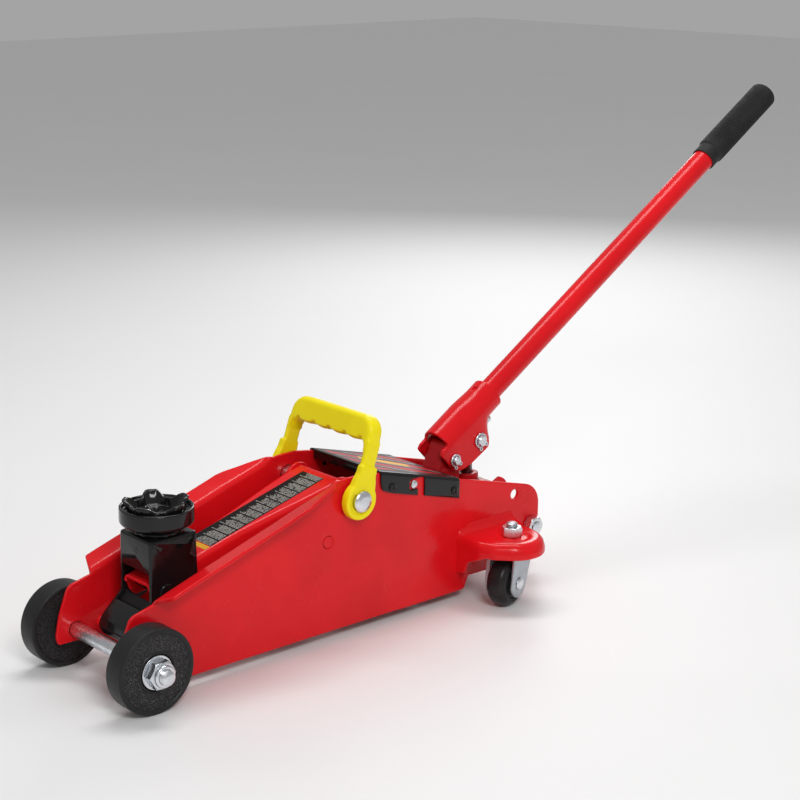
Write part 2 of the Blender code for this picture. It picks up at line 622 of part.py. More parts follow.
def make_cylinder():
    start, end = CYLINDER_X
    bore_end = end - 6 * MM
    profile = [(CYLINDER_R, start), (CYLINDER_R, end), (0.5 * MM, end), (0.5 * MM, bore_end),
               (PISTON_R + GAP, bore_end), (PISTON_R + GAP, start)]
    axis = (0, 0, RAM_Z)
    part("ram_cylinder", turned(profile, axis, (1, 0, 0), ROUND, closed=True), "zinc", True)
    low = start - 7 * MM
    gland = tube(axis, (1, 0, 0), RAM_R + GAP, CYLINDER_R, low, start - GAP, 24)
    part("cylinder_gland", gland, "steel")
    tip = RAM_TIP_X
    ram = [(RAM_R + 1 * MM, tip), (RAM_R + 1 * MM, tip + 4 * MM), (RAM_R, tip + 4 * MM),
           (RAM_R, bore_end - 14 * MM), (PISTON_R, bore_end - 14 * MM), (PISTON_R, bore_end - GAP)]
    part("ram", turned(ram, axis, (1, 0, 0), ROUND), "steel", True)
    collar = tube(axis, (1, 0, 0), CYLINDER_R + GAP, 20 * MM, *ANCHOR_X)
    anchor = part("spring_anchor", collar, "steel")
    lug_x = (ANCHOR_X[0] + 0.5 * MM, ANCHOR_X[1] - 0.5 * MM)
    for _, side in SIDES:
        y = sorted((side * 19 * MM, side * 27.5 * MM))
        lug = box(lug_x, y, (RAM_Z - 5 * MM, RAM_Z + 5 * MM))
        boolean(anchor, cutter(lug), "UNION")
        hole = (sum(ANCHOR_X) / 2, side * SPRING_Y, RAM_Z)
        drill(anchor, hole, (1, 0, 0), 1.4 * MM, 8 * MM, 12)


def make_return_spring(name, side):
    """A coil with a hook over the crosshead pin and a straight tail through the anchor."""
    start, end = SPRING_X
    turns = 8
    per_turn = 6
    y = side * SPRING_Y
    hook_r = CROSS_R + WIRE_R + 1.1 * MM
    points = []
    for i in range(6):
        angle = math.radians(240 - i * 240 / 5)
        points.append((CRANK_PIN[0] + hook_r * math.cos(angle), y,
                       CRANK_PIN[1] + hook_r * math.sin(angle)))
    points.append((start - 2 * MM, y, RAM_Z + SPRING_R))
    count = turns * per_turn
    for i in range(count + 1):
        angle = 2 * math.pi * i / per_turn
        points.append((start + (end - start) * i / count, y + SPRING_R * math.sin(angle),
                       RAM_Z + SPRING_R * math.cos(angle)))
    points.append((end + 3 * MM, y, RAM_Z))
    points.append((ANCHOR_X[1] + 3 * MM, y, RAM_Z))
    part(name, swept(points, WIRE_R, 5), "steel", True)


def make_pump_plunger():
    """The plunger, with a slotted eye in which its pin slides as the handle swings."""
    bottom = UNIT_TOP_Z - 32 * MM
    x, z = PLUNGER_PIN
    shaft = rod((x, 0, 0), (0, 0, 1), PLUNGER_R, bottom, 120 * MM, 20)
    plunger = part("pump_plunger", shaft, "steel", True)
    eye_x = (x - 15.8 * MM, x + 11.4 * MM)
    eye = box(eye_x, (-5 * MM, 5 * MM), (118 * MM, 136.5 * MM))
    boolean(plunger, cutter(eye), "UNION")
    pin = PLUNGER_PIN_R
    low, high = z - pin - 1.5 * MM, z + pin + 0.4 * MM
    slot = box((x - 12.3 * MM, x + 7.9 * MM), (-9 * MM, 9 * MM), (low, high))
    boolean(plunger, cutter(slot))
    set_origin(plunger, (x, 0, UNIT_TOP_Z))


def make_fulcrum_bracket():
    """The upright that carries the handle socket: a front wall and two flanges."""
    body = prism_y(in_metres(FULCRUM_SIDE), -FULCRUM_HALF, FULCRUM_HALF)
    bracket = part("fulcrum_bracket", body, "red_paint")
    inner = FULCRUM_HALF - 3 * MM
    boolean(bracket, cutter(prism_y(in_metres(FULCRUM_HOLLOW), -inner, inner)))
    drill(bracket, xz(FULCRUM), (0, 1, 0), FULCRUM_PIN_R + GAP, 30 * MM)


# ---------------------------------------------------------------- pump handle
def handle_point(s, t, y=0.0):
    """A point s along the handle axis and t below it."""
    return (HANDLE_O[0] + s * HANDLE_U[0] + t * HANDLE_U[1], y,
            HANDLE_O[1] + s * HANDLE_U[1] - t * HANDLE_U[0])


def arch_section(radius, depth):
    """Half a circle over two straight legs, as (y, t) pairs."""
    section = [(-radius, depth)]
    for i in range(11):
        angle = math.pi * i / 10
        section.append((-radius * math.cos(angle), -radius * math.sin(angle)))
    section.append((radius, depth))
    return section


def make_handle_socket():
    """An arched channel whose legs carry the two pivot pins, with a sleeve for the tube."""
    outline = [handle_point(s * MM, t * MM) for s, t in SOCKET_SIDE]
    block = prism_y([(p[0], p[2]) for p in outline], -SOCKET_OUT, SOCKET_OUT)
    socket = part("handle_socket", block, "red_paint")
    outside = [[handle_point(s * MM, t, y) for y, t in arch_section(SOCKET_OUT, 40 * MM)]
               for s in (-20, 80)]
    boolean(socket, cutter(lofted(outside)), "INTERSECT")
    inside = [[handle_point(s * MM, t, y) for y, t in arch_section(SOCKET_IN, 45 * MM)]
              for s in (-25, 85)]
    boolean(socket, cutter(lofted(inside)))
    sleeve = tube(xz(HANDLE_O), (HANDLE_U[0], 0, HANDLE_U[1]), TUBE_R + GAP,
                  SOCKET_IN + 0.5 * MM, TUBE_START - 2 * MM, 72 * MM)
    boolean(socket, cutter(sleeve), "UNION")
    down = (HANDLE_U[1], 0, -HANDLE_U[0])
    boss = rod(handle_point(SET_SCREW_S, 0), down, 5 * MM, TUBE_R + 1 * MM, 16.5 * MM, SMALL)
    boolean(socket, cutter(boss), "UNION")
    screw_hole = rod(handle_point(SET_SCREW_S, 0), down, SET_SCREW_R + GAP, 5 * MM, 25 * MM, 12)
    boolean(socket, cutter(screw_hole))
    sight_hole = rod(handle_point(61 * MM, 0), down, 2.5 * MM, -25 * MM, -6 * MM, 12)
    boolean(socket, cutter(sight_hole))
    drill(socket, xz(FULCRUM), (0, 1, 0), FULCRUM_PIN_R + GAP, 30 * MM)
    drill(socket, xz(PLUNGER_PIN), (0, 1, 0), PLUNGER_PIN_R + GAP, 30 * MM)
    set_origin(socket, xz(FULCRUM))


def clip_outline(inner, outer, centre):
    """An open ring: the outline of a C-shaped retaining clip."""
    return arc(centre, outer, 60, 360, 11) + arc(centre, inner, 360, 60, 11)


def make_socket_pins():
    for name, point, radius in (("fulcrum_pin", FULCRUM, FULCRUM_PIN_R),
                                ("plunger_pin", PLUNGER_PIN, PLUNGER_PIN_R)):
        head = SOCKET_OUT + GAP
        profile = [(radius, -PIN_END), (radius, head), (radius + 2 * MM, head),
                   (radius + 2 * MM, head + 2.2 * MM)]
        pin = part(name, turned(profile, xz(point), (0, 1, 0), 20), "zinc", True)
        outline = clip_outline(radius + 0.2 * MM, radius + 2.4 * MM, point)
        clip = prism_y(outline, -SOCKET_OUT - GAP - 1.2 * MM, -SOCKET_OUT - GAP)
        clip = part(name.replace("pin", "clip"), clip, "zinc")
        set_origin(pin, xz(FULCRUM))
        set_origin(clip, xz(FULCRUM))
    down = (HANDLE_U[1], 0, -HANDLE_U[0])
    low = TUBE_R + GAP
    profile = [(SET_SCREW_R, low), (SET_SCREW_R, 16.9 * MM), (5.2 * MM, 16.9 * MM),
               (5.2 * MM, 20 * MM)]
    screw = turned(profile, handle_point(SET_SCREW_S, 0), down, SMALL)
    set_origin(part("socket_set_screw", screw, "zinc", True), xz(FULCRUM))


def make_handle_tube():
    direction = (HANDLE_U[0], 0, HANDLE_U[1])
    wall = 1.8 * MM
    end = GRIP_END - 5 * MM
    body = tube(xz(HANDLE_O), direction, TUBE_R - wall, TUBE_R, TUBE_START, end)
    set_origin(part("handle_tube", body, "red_paint", True), xz(FULCRUM))
    inner = TUBE_R + GAP
    collar = 11.6 * MM
    step = GRIP_START + 12 * MM
    profile = [(inner, GRIP_START), (collar, GRIP_START), (collar, step), (GRIP_R, step + 1 * MM),
               (GRIP_R, GRIP_END - 3 * MM), (GRIP_R - 3 * MM, GRIP_END), (1 * MM, GRIP_END),
               (1 * MM, end + GAP), (inner, end + GAP)]
    grip = turned(profile, xz(HANDLE_O), direction, ROUND, closed=True)
    set_origin(part("handle_grip", grip, "grip_rubber", True), xz(FULCRUM))


def make_valve_and_plug():
    profile = [(VALVE_R, 0.5 * MM), (VALVE_R, 8 * MM), (6.5 * MM, 8 * MM), (6.5 * MM, 20 * MM),
               (5.0 * MM, VALVE_LENGTH)]
    valve = part("release_valve", turned(profile, VALVE_POINT, VALVE_AXIS, 20), "red_paint", True)
    tip = Vector(VALVE_POINT) + Vector(VALVE_AXIS) * VALVE_LENGTH
    notch = box((-4 * MM, 4 * MM), (-2 * MM, 2 * MM), (-12 * MM, 12 * MM))
    turn = Vector((1, 0, 0)).rotation_difference(Vector(VALVE_AXIS)).to_matrix().to_4x4()
    notch.transform(Matrix.Translation(tip) @ turn)
    boolean(valve, cutter(notch))
    set_origin(valve, VALVE_POINT)
    profile = [(FILLER_R, -6 * MM), (FILLER_R, GAP), (4 * MM, GAP), (4 * MM, 3 * MM)]
    part("oil_filler_plug", turned(profile, FILLER_POINT, (0, 0, 1), 12), "black_plastic", True)


# ---------------------------------------------------------------- cover
def plate_top(x):
    """Height of the side plates' sloping rear edge at X."""
    (x_low, z_low), (x_high, z_high) = in_metres([PLATE_OUTLINE[i] for i in REAR_SLOPE])
    return z_high + (z_low - z_high) * (x - x_high) / (x_low - x_high)


def make_cover():
    outer = PLATE_Y + GAP + COVER_T
    rings = []
    for x in COVER_X:
        top = plate_top(x) + GAP + COVER_T
        low = top - COVER_FLANGE
        under = top - COVER_T
        inner = outer - COVER_T
        chamfer = 1.5 * MM
        rings.append([(x, -outer, low), (x, -outer, top - chamfer), (x, -outer + chamfer, top),
                      (x, outer - chamfer, top), (x, outer, top - chamfer), (x, outer, low),
                      (x, inner, low), (x, inner, under), (x, -inner, under), (x, -inner, low)])
    cover = part("cover_plate", lofted(rings), "black_paint")
    high = plate_top(COVER_X[0]) + GAP
    half = PLATE_IN - 2 * GAP
    lip = box((COVER_X[0], COVER_X[0] + COVER_T), (-half, half), (high - COVER_LIP, high + 0.5 * MM))
    boolean(cover, cutter(lip), "UNION")
    boolean(cover, cutter(prism_y(in_metres(HOOK_SLOT), -60 * MM, 60 * MM)))
    x = COVER_X[0]
    corner = [(x - 1 * MM, 105 * MM), (x - 1 * MM, 124 * MM), (x + 1.5 * MM, 119.5 * MM),
              (x + 5 * MM, 116 * MM), (x + 10 * MM, 113.6 * MM), (x + 10 * MM, 105 * MM)]
    boolean(cover, cutter(prism_y(corner, -60 * MM, 60 * MM)))
    for point in COVER_SCREWS:
        drill(cover, xz(point), (0, 1, 0), SCREW_R + GAP, 60 * MM, 12)


def make_cover_fasteners():
    outer = PLATE_Y + GAP + COVER_T
    for name, side in SIDES:
        for place, point in zip(("front", "rear"), COVER_SCREWS):
            profile = [(SCREW_R, PLATE_IN - 1 * MM), (SCREW_R, outer + GAP),
                       (3.8 * MM, outer + GAP), (3.0 * MM, outer + 2 * MM)]
            screw = turned(profile, xz(point), (0, side, 0), 12)
            part("cover_screw_" + place + "_" + name, screw, "black_paint", True)
        profile = [(HOOK_R, PLATE_IN), (HOOK_R, outer + 0.2 * MM), (3.6 * MM, outer + 0.4 * MM),
                   (2.4 * MM, outer + 2 * MM)]
        pin = turned(profile, xz(HOOK_PIN), (0, side, 0), 14)
        part("cover_hook_pin_" + name, pin, "zinc", True)


# ---------------------------------------------------------------- carry handle
def make_carry_handle():
    """A U-shaped carrying handle: two hubs on the arm shaft and a scalloped finger bar."""
    inner_y = PLATE_Y + GAP + COVER_T + 0.6 * MM
    radial = (math.cos(CARRY_LEAN), math.sin(CARRY_LEAN))
    inner = [(inner_y / MM, 4.0), (inner_y / MM, 40.0), (43.0, 47.0)]
    bottom = inner + CARRY_FINGERS
    outline = CARRY_OUTER + [(-y, r) for y, r in reversed(CARRY_OUTER)]
    outline += [(-y, r) for y, r in bottom]
    outline += list(reversed(bottom))
    rings = []
    for side in (-0.5, 0.5):
        ring = []
        for y, r in outline:
            x = ARM_PIVOT[0] + radial[0] * r * MM - radial[1] * side * CARRY_T
            z = ARM_PIVOT[1] + radial[1] * r * MM + radial[0] * side * CARRY_T
            ring.append((x, y * MM, z))
        rings.append(ring)
    handle = part("carry_handle", lofted(rings), "yellow_plastic")
    for side in (-1, 1):
        hub = rod(xz(ARM_PIVOT), (0, side, 0), CARRY_HUB_R, inner_y, CARRY_OUTER[0][0] * MM, ROUND)
        boolean(handle, cutter(hub), "UNION")
    drill(handle, xz(ARM_PIVOT), (0, 1, 0), SHAFT_R + GAP, 70 * MM, 24)
    set_origin(handle, xz(ARM_PIVOT))


# ---------------------------------------------------------------- casters
def caster_frame(side):
    """The wheel's rolling direction, its axle direction and the swivel centre."""
    turn = CASTER_TURN * side
    roll = Vector((-math.cos(turn), math.sin(turn), 0))
    across = Vector((math.sin(turn), math.cos(turn), 0)) * side
    return roll, across, Vector((STUD[0], side * STUD[1], 0))


def fork_leg(centre, roll, across, low, high):
    """One leg of the fork: wide under the crown and rounded round the axle."""
    outline = [(-14.0 * MM, 51.0 * MM), (-13.0 * MM, 44.0 * MM)]
    outline += arc((CASTER_TRAIL, CASTER_R), FORK_LEG_R, 190, 350, 11)
    outline += [(16.5 * MM, 44.0 * MM), (14.0 * MM, 51.0 * MM)]
    rings = []
    for a in (low, high):
        rings.append([centre + roll * s + across * a + Vector((0, 0, z))
                      for s, z in outline])
    return lofted(rings)


def make_caster(name, side):
    roll, across, centre = caster_frame(side)
    crown = turned([(19 * MM, 49 * MM), (19 * MM, 52.5 * MM), (9 * MM, 56.5 * MM),
                    (STUD_R, 56.5 * MM), (STUD_R, 71 * MM), (STUD_R - 1 * MM, 72 * MM)],
                   centre, (0, 0, 1), 24)
    fork = part("caster_fork_" + name, crown, "zinc")
    for side_sign in (-1, 1):
        low, high = sorted(side_sign * face for face in FORK_LEG)
        boolean(fork, cutter(fork_leg(centre, roll, across, low, high)), "UNION")
    hub = centre + roll * CASTER_TRAIL + Vector((0, 0, CASTER_R))
    drill(fork, hub, across, CASTER_PIN_R + GAP, 20 * MM)
    set_origin(fork, centre + Vector((0, 0, CASTER_R)))
    half = CASTER_WIDTH / 2
    edge = 3 * MM
    profile = [(CASTER_PIN_R + GAP, -half - 1 * MM), (8 * MM, -half - 1 * MM), (8 * MM, -half + 1 * MM),
               (CASTER_R - edge, -half), (CASTER_R - 0.8 * MM, -half + edge * 0.6),
               (CASTER_R, -2 * MM), (CASTER_R, 2 * MM),
               (CASTER_R - 0.8 * MM, half - edge * 0.6), (CASTER_R - edge, half),
               (8 * MM, half - 1 * MM), (8 * MM, half + 1 * MM), (CASTER_PIN_R + GAP, half + 1 * MM)]
    wheel = part("caster_wheel_" + name, turned(profile, hub, across, 20, closed=True),
                 "black_plastic", True)
    set_origin(wheel, hub)
    reach = FORK_LEG[1] + GAP
    profile = [(4.5 * MM, -reach - 1.6 * MM), (5.5 * MM, -reach - 0.6 * MM), (5.5 * MM, -reach),
               (CASTER_PIN_R, -reach), (CASTER_PIN_R, reach), (5.5 * MM, reach),
               (5.5 * MM, reach + 0.6 * MM), (4.5 * MM, reach + 1.6 * MM)]
    part("caster_axle_" + name, turned(profile, hub, across, SMALL), "zinc", True)
    low = EAR_TOP_Z + GAP
    part("caster_nut_" + name,
         hex_nut(centre, (0, 0, 1), 16 * MM, STUD_R + GAP, low, low + 8 * MM), "zinc")


# ---------------------------------------------------------------- assembly
def build():
    for name, side in SIDES:
        make_side_plate("side_plate_" + name, side)
        make_radius_rod("radius_rod_" + name, side)
        make_rod_pivot("rod_pivot_" + name, side)
        make_return_spring("return_spring_" + name, side)
        make_caster(name, side)
    make_front_end()
    make_tie_rod()
    make_lift_arm()
    make_linkage_pins()
    make_saddle_bracket()
    make_saddle()
    make_power_unit()
    make_cylinder()
    make_pump_plunger()
    make_fulcrum_bracket()
    make_handle_socket()
    make_socket_pins()
    make_handle_tube()
    make_valve_and_plug()
    make_cover()
    make_cover_fasteners()
    make_carry_handle()
    for item in list(PARTS.objects) + list(CUTTERS.objects):
        item.location.x += SHIFT_X


clear_scene()
PAINT = make_materials()
PARTS = new_collection("trolley_jack")
CUTTERS = new_collection("cutters", hidden=True)
build()
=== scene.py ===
import json
import math

import bmesh
import bpy
from mathutils import Matrix, Vector, noise
from mathutils.geometry import delaunay_2d_cdt


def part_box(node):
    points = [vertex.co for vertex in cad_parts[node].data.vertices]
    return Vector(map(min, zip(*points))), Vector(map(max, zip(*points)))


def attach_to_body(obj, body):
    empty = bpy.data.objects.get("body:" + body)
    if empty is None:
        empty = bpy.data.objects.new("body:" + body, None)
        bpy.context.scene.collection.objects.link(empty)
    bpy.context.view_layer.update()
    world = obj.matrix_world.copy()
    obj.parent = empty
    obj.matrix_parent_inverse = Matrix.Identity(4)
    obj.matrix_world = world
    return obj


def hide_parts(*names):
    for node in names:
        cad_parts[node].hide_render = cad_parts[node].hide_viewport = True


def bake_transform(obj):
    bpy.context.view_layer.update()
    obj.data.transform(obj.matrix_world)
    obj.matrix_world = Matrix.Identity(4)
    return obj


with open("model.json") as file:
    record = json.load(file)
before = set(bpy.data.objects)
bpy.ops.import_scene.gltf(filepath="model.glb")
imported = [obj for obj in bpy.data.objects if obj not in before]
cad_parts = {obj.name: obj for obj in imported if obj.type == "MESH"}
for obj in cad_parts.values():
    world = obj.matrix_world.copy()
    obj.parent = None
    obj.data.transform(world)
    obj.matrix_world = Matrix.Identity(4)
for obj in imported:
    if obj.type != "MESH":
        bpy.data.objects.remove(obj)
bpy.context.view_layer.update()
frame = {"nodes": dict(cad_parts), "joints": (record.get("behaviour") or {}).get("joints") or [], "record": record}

# Shapes below are in millimetres. X runs from the front axle to the handle, Z is up from the floor.
MM = 0.001
RECORD = frame["record"]
BODY_OF = {node: body for body, nodes in RECORD["behaviour"]["bodies"].items() for node in nodes}
SIDES = (("left", -1), ("right", 1))
AXLE_X = (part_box("front_axle")[0].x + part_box("front_axle")[1].x) / 2


def box_mm(node):
    """Lowest and highest corner of a CAD node in millimetres from the front axle."""
    shift = Vector((AXLE_X, 0, 0))
    return [(corner - shift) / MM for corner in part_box(node)]


def middle_mm(node):
    """The middle of a CAD node's box, as X, Y and Z in the same millimetres."""
    return [(a + b) / 2 for a, b in zip(*box_mm(node))]


def pivot_mm(joint_name):
    """(x, z) of a joint's centre."""
    place = next(joint["pos_m"] for joint in frame["joints"] if joint["name"] == joint_name)
    return ((place[0] - AXLE_X) / MM, place[2] / MM)


# ---------------------------------------------------------------- dimensions read from the frame
ARM_PIVOT = pivot_mm("arm_lift")
SADDLE_PIVOT = pivot_mm("bracket_pivot")
ROD_PIVOT = pivot_mm("radius_rod_pivot")
FULCRUM = pivot_mm("pump_pivot")
CRANK_PIN = pivot_mm("roller_spin")
VALVE_POINT = next(Vector(joint["pos_m"]) for joint in frame["joints"]
                   if joint["name"] == "release_valve_turn")
VALVE_POINT = (VALVE_POINT - Vector((AXLE_X, 0, 0))) / MM
VALVE_TILT = math.radians(25)
WHEEL_LOW, WHEEL_HIGH = box_mm("front_wheel_right")
WHEEL_R = (WHEEL_HIGH.z - WHEEL_LOW.z) / 2
WHEEL_OUTER_Y = WHEEL_HIGH.y
AXLE_HALF = box_mm("front_axle")[1].y
WHEEL_WIDTH = 19.2
AXLE_R = 6.0
_, BRACKET_HIGH = box_mm("saddle_bracket")
SADDLE_LOW, SADDLE_HIGH = box_mm("saddle")
SADDLE_X = middle_mm("saddle")[0]
SADDLE_R = (SADDLE_HIGH.x - SADDLE_LOW.x) / 2
LUG_TOP = SADDLE_HIGH.z
RIM_TOP = LUG_TOP - 5.3
COVER_LOW, COVER_HIGH = box_mm("cover_plate")
PLATE_Y = 44.0
PLATE_T = 3.0
PLATE_MID = PLATE_Y - PLATE_T / 2
STUD = tuple(middle_mm("caster_nut_right")[:2])
TIE = tuple(middle_mm("rear_tie_rod")[::2])
PLUNGER_PIN = tuple(middle_mm("plunger_pin")[::2])
HANDLE_SLOPE = math.radians(32.7)
HANDLE_U = (math.cos(HANDLE_SLOPE), math.sin(HANDLE_SLOPE))
HANDLE_OFFSET = 11.1
HANDLE_O = (FULCRUM[0] - HANDLE_OFFSET * HANDLE_U[1], FULCRUM[1] + HANDLE_OFFSET * HANDLE_U[0])
HANDLE_AXIS = Vector((HANDLE_U[0], 0, HANDLE_U[1]))
HANDLE_DOWN = Vector((HANDLE_U[1], 0, -HANDLE_U[0]))
Y_AXIS = Vector((0, 1, 0))
Z_AXIS = Vector((0, 0, 1))
CARRY_LEAN = math.radians(71.0)


# ---------------------------------------------------------------- shader values
class Signal:
    """A value that shader nodes work out; the usual signs add nodes that calculate with it."""

    def __init__(self, tree, socket):
        self.tree = tree
        self.socket = socket

    def feed(self, target):
        self.tree.links.new(self.socket, target)

    def calculate(self, operation, other=None):
        """A maths node on this value and on a number or another signal."""
        node = self.tree.nodes.new("ShaderNodeMath")
        node.operation = operation
        self.feed(node.inputs[0])
        if isinstance(other, Signal):
            other.feed(node.inputs[1])
        elif other is not None:
            node.inputs[1].default_value = other
        return Signal(self.tree, node.outputs["Value"])

    def __add__(self, other):
        return self.calculate("ADD", other)

    def __sub__(self, other):
        return self.calculate("SUBTRACT", other)

    def __mul__(self, other):
        return self.calculate("MULTIPLY", other)

    def __truediv__(self, other):
        return self.calculate("DIVIDE", other)

    def __lt__(self, other):
        return self.calculate("LESS_THAN", other)

    def __gt__(self, other):
        return self.calculate("GREATER_THAN", other)

    def __abs__(self):
        return self.calculate("ABSOLUTE")

    def ramp(self, low, high, start=0.0, end=1.0):
        """Maps the stretch from start to end onto the values low to high."""
        node = self.tree.nodes.new("ShaderNodeMapRange")
        limits = {"From Min": start, "From Max": end, "To Min": low, "To Max": high}
        for name, value in limits.items():
            node.inputs[name].default_value = value
        self.feed(node.inputs["Value"])
        return Signal(self.tree, node.outputs["Result"])

    def mix(self, first, second):
        """Mixes two colours, each a triple or a signal, by this value."""
        node = self.tree.nodes.new("ShaderNodeMix")
        node.data_type = "RGBA"
        self.feed(node.inputs["Factor"])
        for socket, value in zip((node.inputs["A"], node.inputs["B"]), (first, second)):
            if isinstance(value, tuple):
                socket.default_value = (*value, 1.0)
            else:
                value.feed(socket)
        return Signal(self.tree, node.outputs["Result"])


def coordinates(tree):
    """Object space, in metres."""
    return Signal(tree, tree.nodes.new("ShaderNodeTexCoord").outputs["Object"])


def noise_at(tree, scale, detail=3.0, roughness=0.55, stretch=None):
    """A noise factor; scale is in cells per metre and stretch scales its three axes."""
    texture = tree.nodes.new("ShaderNodeTexNoise")
    texture.inputs["Scale"].default_value = scale
    texture.inputs["Detail"].default_value = detail
    texture.inputs["Roughness"].default_value = roughness
    place = coordinates(tree)
    if stretch:
        mapping = tree.nodes.new("ShaderNodeMapping")
        mapping.inputs["Scale"].default_value = stretch
        place.feed(mapping.inputs["Vector"])
        place = Signal(tree, mapping.outputs["Vector"])
    place.feed(texture.inputs["Vector"])
    return Signal(tree, texture.outputs["Fac"])


def scatter(value, other=None):
    """An even random number for each whole value, or for each pair of whole values."""
    texture = value.tree.nodes.new("ShaderNodeTexWhiteNoise")
    if other is None:
        texture.noise_dimensions = "1D"
        value.feed(texture.inputs["W"])
    else:
        texture.noise_dimensions = "2D"
        pair = value.tree.nodes.new("ShaderNodeCombineXYZ")
        value.feed(pair.inputs["X"])
        other.feed(pair.inputs["Y"])
        Signal(value.tree, pair.outputs["Vector"]).feed(texture.inputs["Vector"])
    return Signal(value.tree, texture.outputs["Value"])


def edge_mask(tree, radius):
    """Nearly 1 on sharp edges and 0 on flat ground, from a rounded normal."""
    bevel = tree.nodes.new("ShaderNodeBevel")
    bevel.samples = 4
    bevel.inputs["Radius"].default_value = radius
    geometry = tree.nodes.new("ShaderNodeNewGeometry")
    dot = tree.nodes.new("ShaderNodeVectorMath")
    dot.operation = "DOT_PRODUCT"
    tree.links.new(bevel.outputs["Normal"], dot.inputs[0])
    tree.links.new(geometry.outputs["Normal"], dot.inputs[1])
    return Signal(tree, dot.outputs["Value"]).ramp(1.0, 0.0, 0.80, 0.985)


def along(tree, origin, direction):
    """Distance along a direction from an origin, in metres."""
    direction = Vector(direction).normalized()
    dot = tree.nodes.new("ShaderNodeVectorMath")
    dot.operation = "DOT_PRODUCT"
    dot.inputs[1].default_value = direction
    coordinates(tree).feed(dot.inputs[0])
    return Signal(tree, dot.outputs["Value"]) - Vector(origin).dot(direction)


# ---------------------------------------------------------------- materials
def new_material(name, **constants):
    """A material whose constant inputs sit on the shader's own sockets, and its node tree."""
    material = bpy.data.materials.new(name)
    material.use_nodes = True
    shader = material.node_tree.nodes["Principled BSDF"]
    for socket, value in constants.items():
        shader.inputs[socket.replace("_", " ")].default_value = value
    return material, material.node_tree


def finish(material, colour, rough=None, *bumps):
    """Joins a material's values to its shader; each bump is a height and a depth in metres."""
    tree = material.node_tree
    shader = tree.nodes["Principled BSDF"]
    colour.feed(shader.inputs["Base Color"])
    if rough:
        rough.feed(shader.inputs["Roughness"])
    previous = None
    for height, distance in bumps:
        node = tree.nodes.new("ShaderNodeBump")
        node.inputs["Strength"].default_value = 1.0
        node.inputs["Distance"].default_value = distance
        height.feed(node.inputs["Height"])
        if previous:
            tree.links.new(previous.outputs["Normal"], node.inputs["Normal"])
        previous = node
    if previous:
        tree.links.new(previous.outputs["Normal"], shader.inputs["Normal"])
    return material


def enamel(name, colour, deep, worn, roughness, coat, peel=0.00004):
    """Sprayed paint: slow shade changes, orange peel, fine dust and thin paint on sharp edges."""
    material, tree = new_material(
        name, Coat_Weight=coat, Coat_Roughness=0.06, Specular_IOR_Level=0.16)
    shade = noise_at(tree, 14.0).ramp(0.0, 1.0, 0.35, 0.65).mix(colour, deep)
    scuff = noise_at(tree, 420.0, 5.0, 0.7).ramp(0.0, 1.0, 0.52, 0.70)
    shade = (edge_mask(tree, 0.0007) * scuff * 0.5).mix(shade, worn)
    rough = noise_at(tree, 60.0, 5.0, 0.65).ramp(roughness - 0.05, roughness + 0.09, 0.3, 0.7)
    return finish(material, shade, rough, (noise_at(tree, 320.0, 2.0), peel),
                  (noise_at(tree, 45.0, 2.0), 0.00012))


def plated(name, colour, tint, roughness, brushed=(1, 1, 1), scale=900.0):
    """Zinc plate or bare steel: a passivate tint in clouds, fine grain and small scratches."""
    material, tree = new_material(name, Metallic=1.0)
    shade = noise_at(tree, 120.0, 4.0).ramp(0.0, 1.0, 0.35, 0.68).mix(colour, tint)
    pits = noise_at(tree, 1500.0, 3.0, 0.7).ramp(0.0, 0.55, 0.62, 0.74)
    shade = pits.mix(shade, tuple(value * 0.45 for value in colour))
    grain = noise_at(tree, scale, 4.0, 0.6, brushed)
    rough = grain.ramp(roughness - 0.07, roughness + 0.13, 0.3, 0.7)
    return finish(material, shade, rough, (grain, 0.00003))


def moulded(name, colour, deep, roughness, grain, depth, clear=0.25):
    """Moulded plastic or rubber with a fine surface grain and handling marks."""
    material, tree = new_material(name, Specular_IOR_Level=clear)
    shade = noise_at(tree, 40.0, 4.0).ramp(0.0, 1.0, 0.3, 0.7).mix(colour, deep)
    rough = noise_at(tree, 130.0, 6.0, 0.7).ramp(roughness - 0.08, roughness + 0.1, 0.3, 0.7)
    return finish(material, shade, rough, (noise_at(tree, grain, 3.0, 0.6), depth))


def grainy_face():
    """The wheels' cast-looking side face: coarse grain on black, with lighter specks as painted glints."""
    material, tree = new_material("wheel_grain_painted_glints", Specular_IOR_Level=0.35)
    cells = tree.nodes.new("ShaderNodeTexVoronoi")
    cells.inputs["Scale"].default_value = 1000.0
    coordinates(tree).feed(cells.inputs["Vector"])
    coarse = noise_at(tree, 800.0, 4.0, 0.7)
    height = Signal(tree, cells.outputs["Distance"]) + coarse
    # Lighter grey specks in the base colour: painted glints of the grain.
    painted_glint = noise_at(tree, 1300.0, 2.0, 0.6).ramp(0.0, 1.0, 0.56, 0.68)
    shade = painted_glint.mix((0.006, 0.006, 0.0065), (0.17, 0.17, 0.175))
    return finish(material, shade, coarse.ramp(0.22, 0.55, 0.3, 0.7), (height, 0.0006))


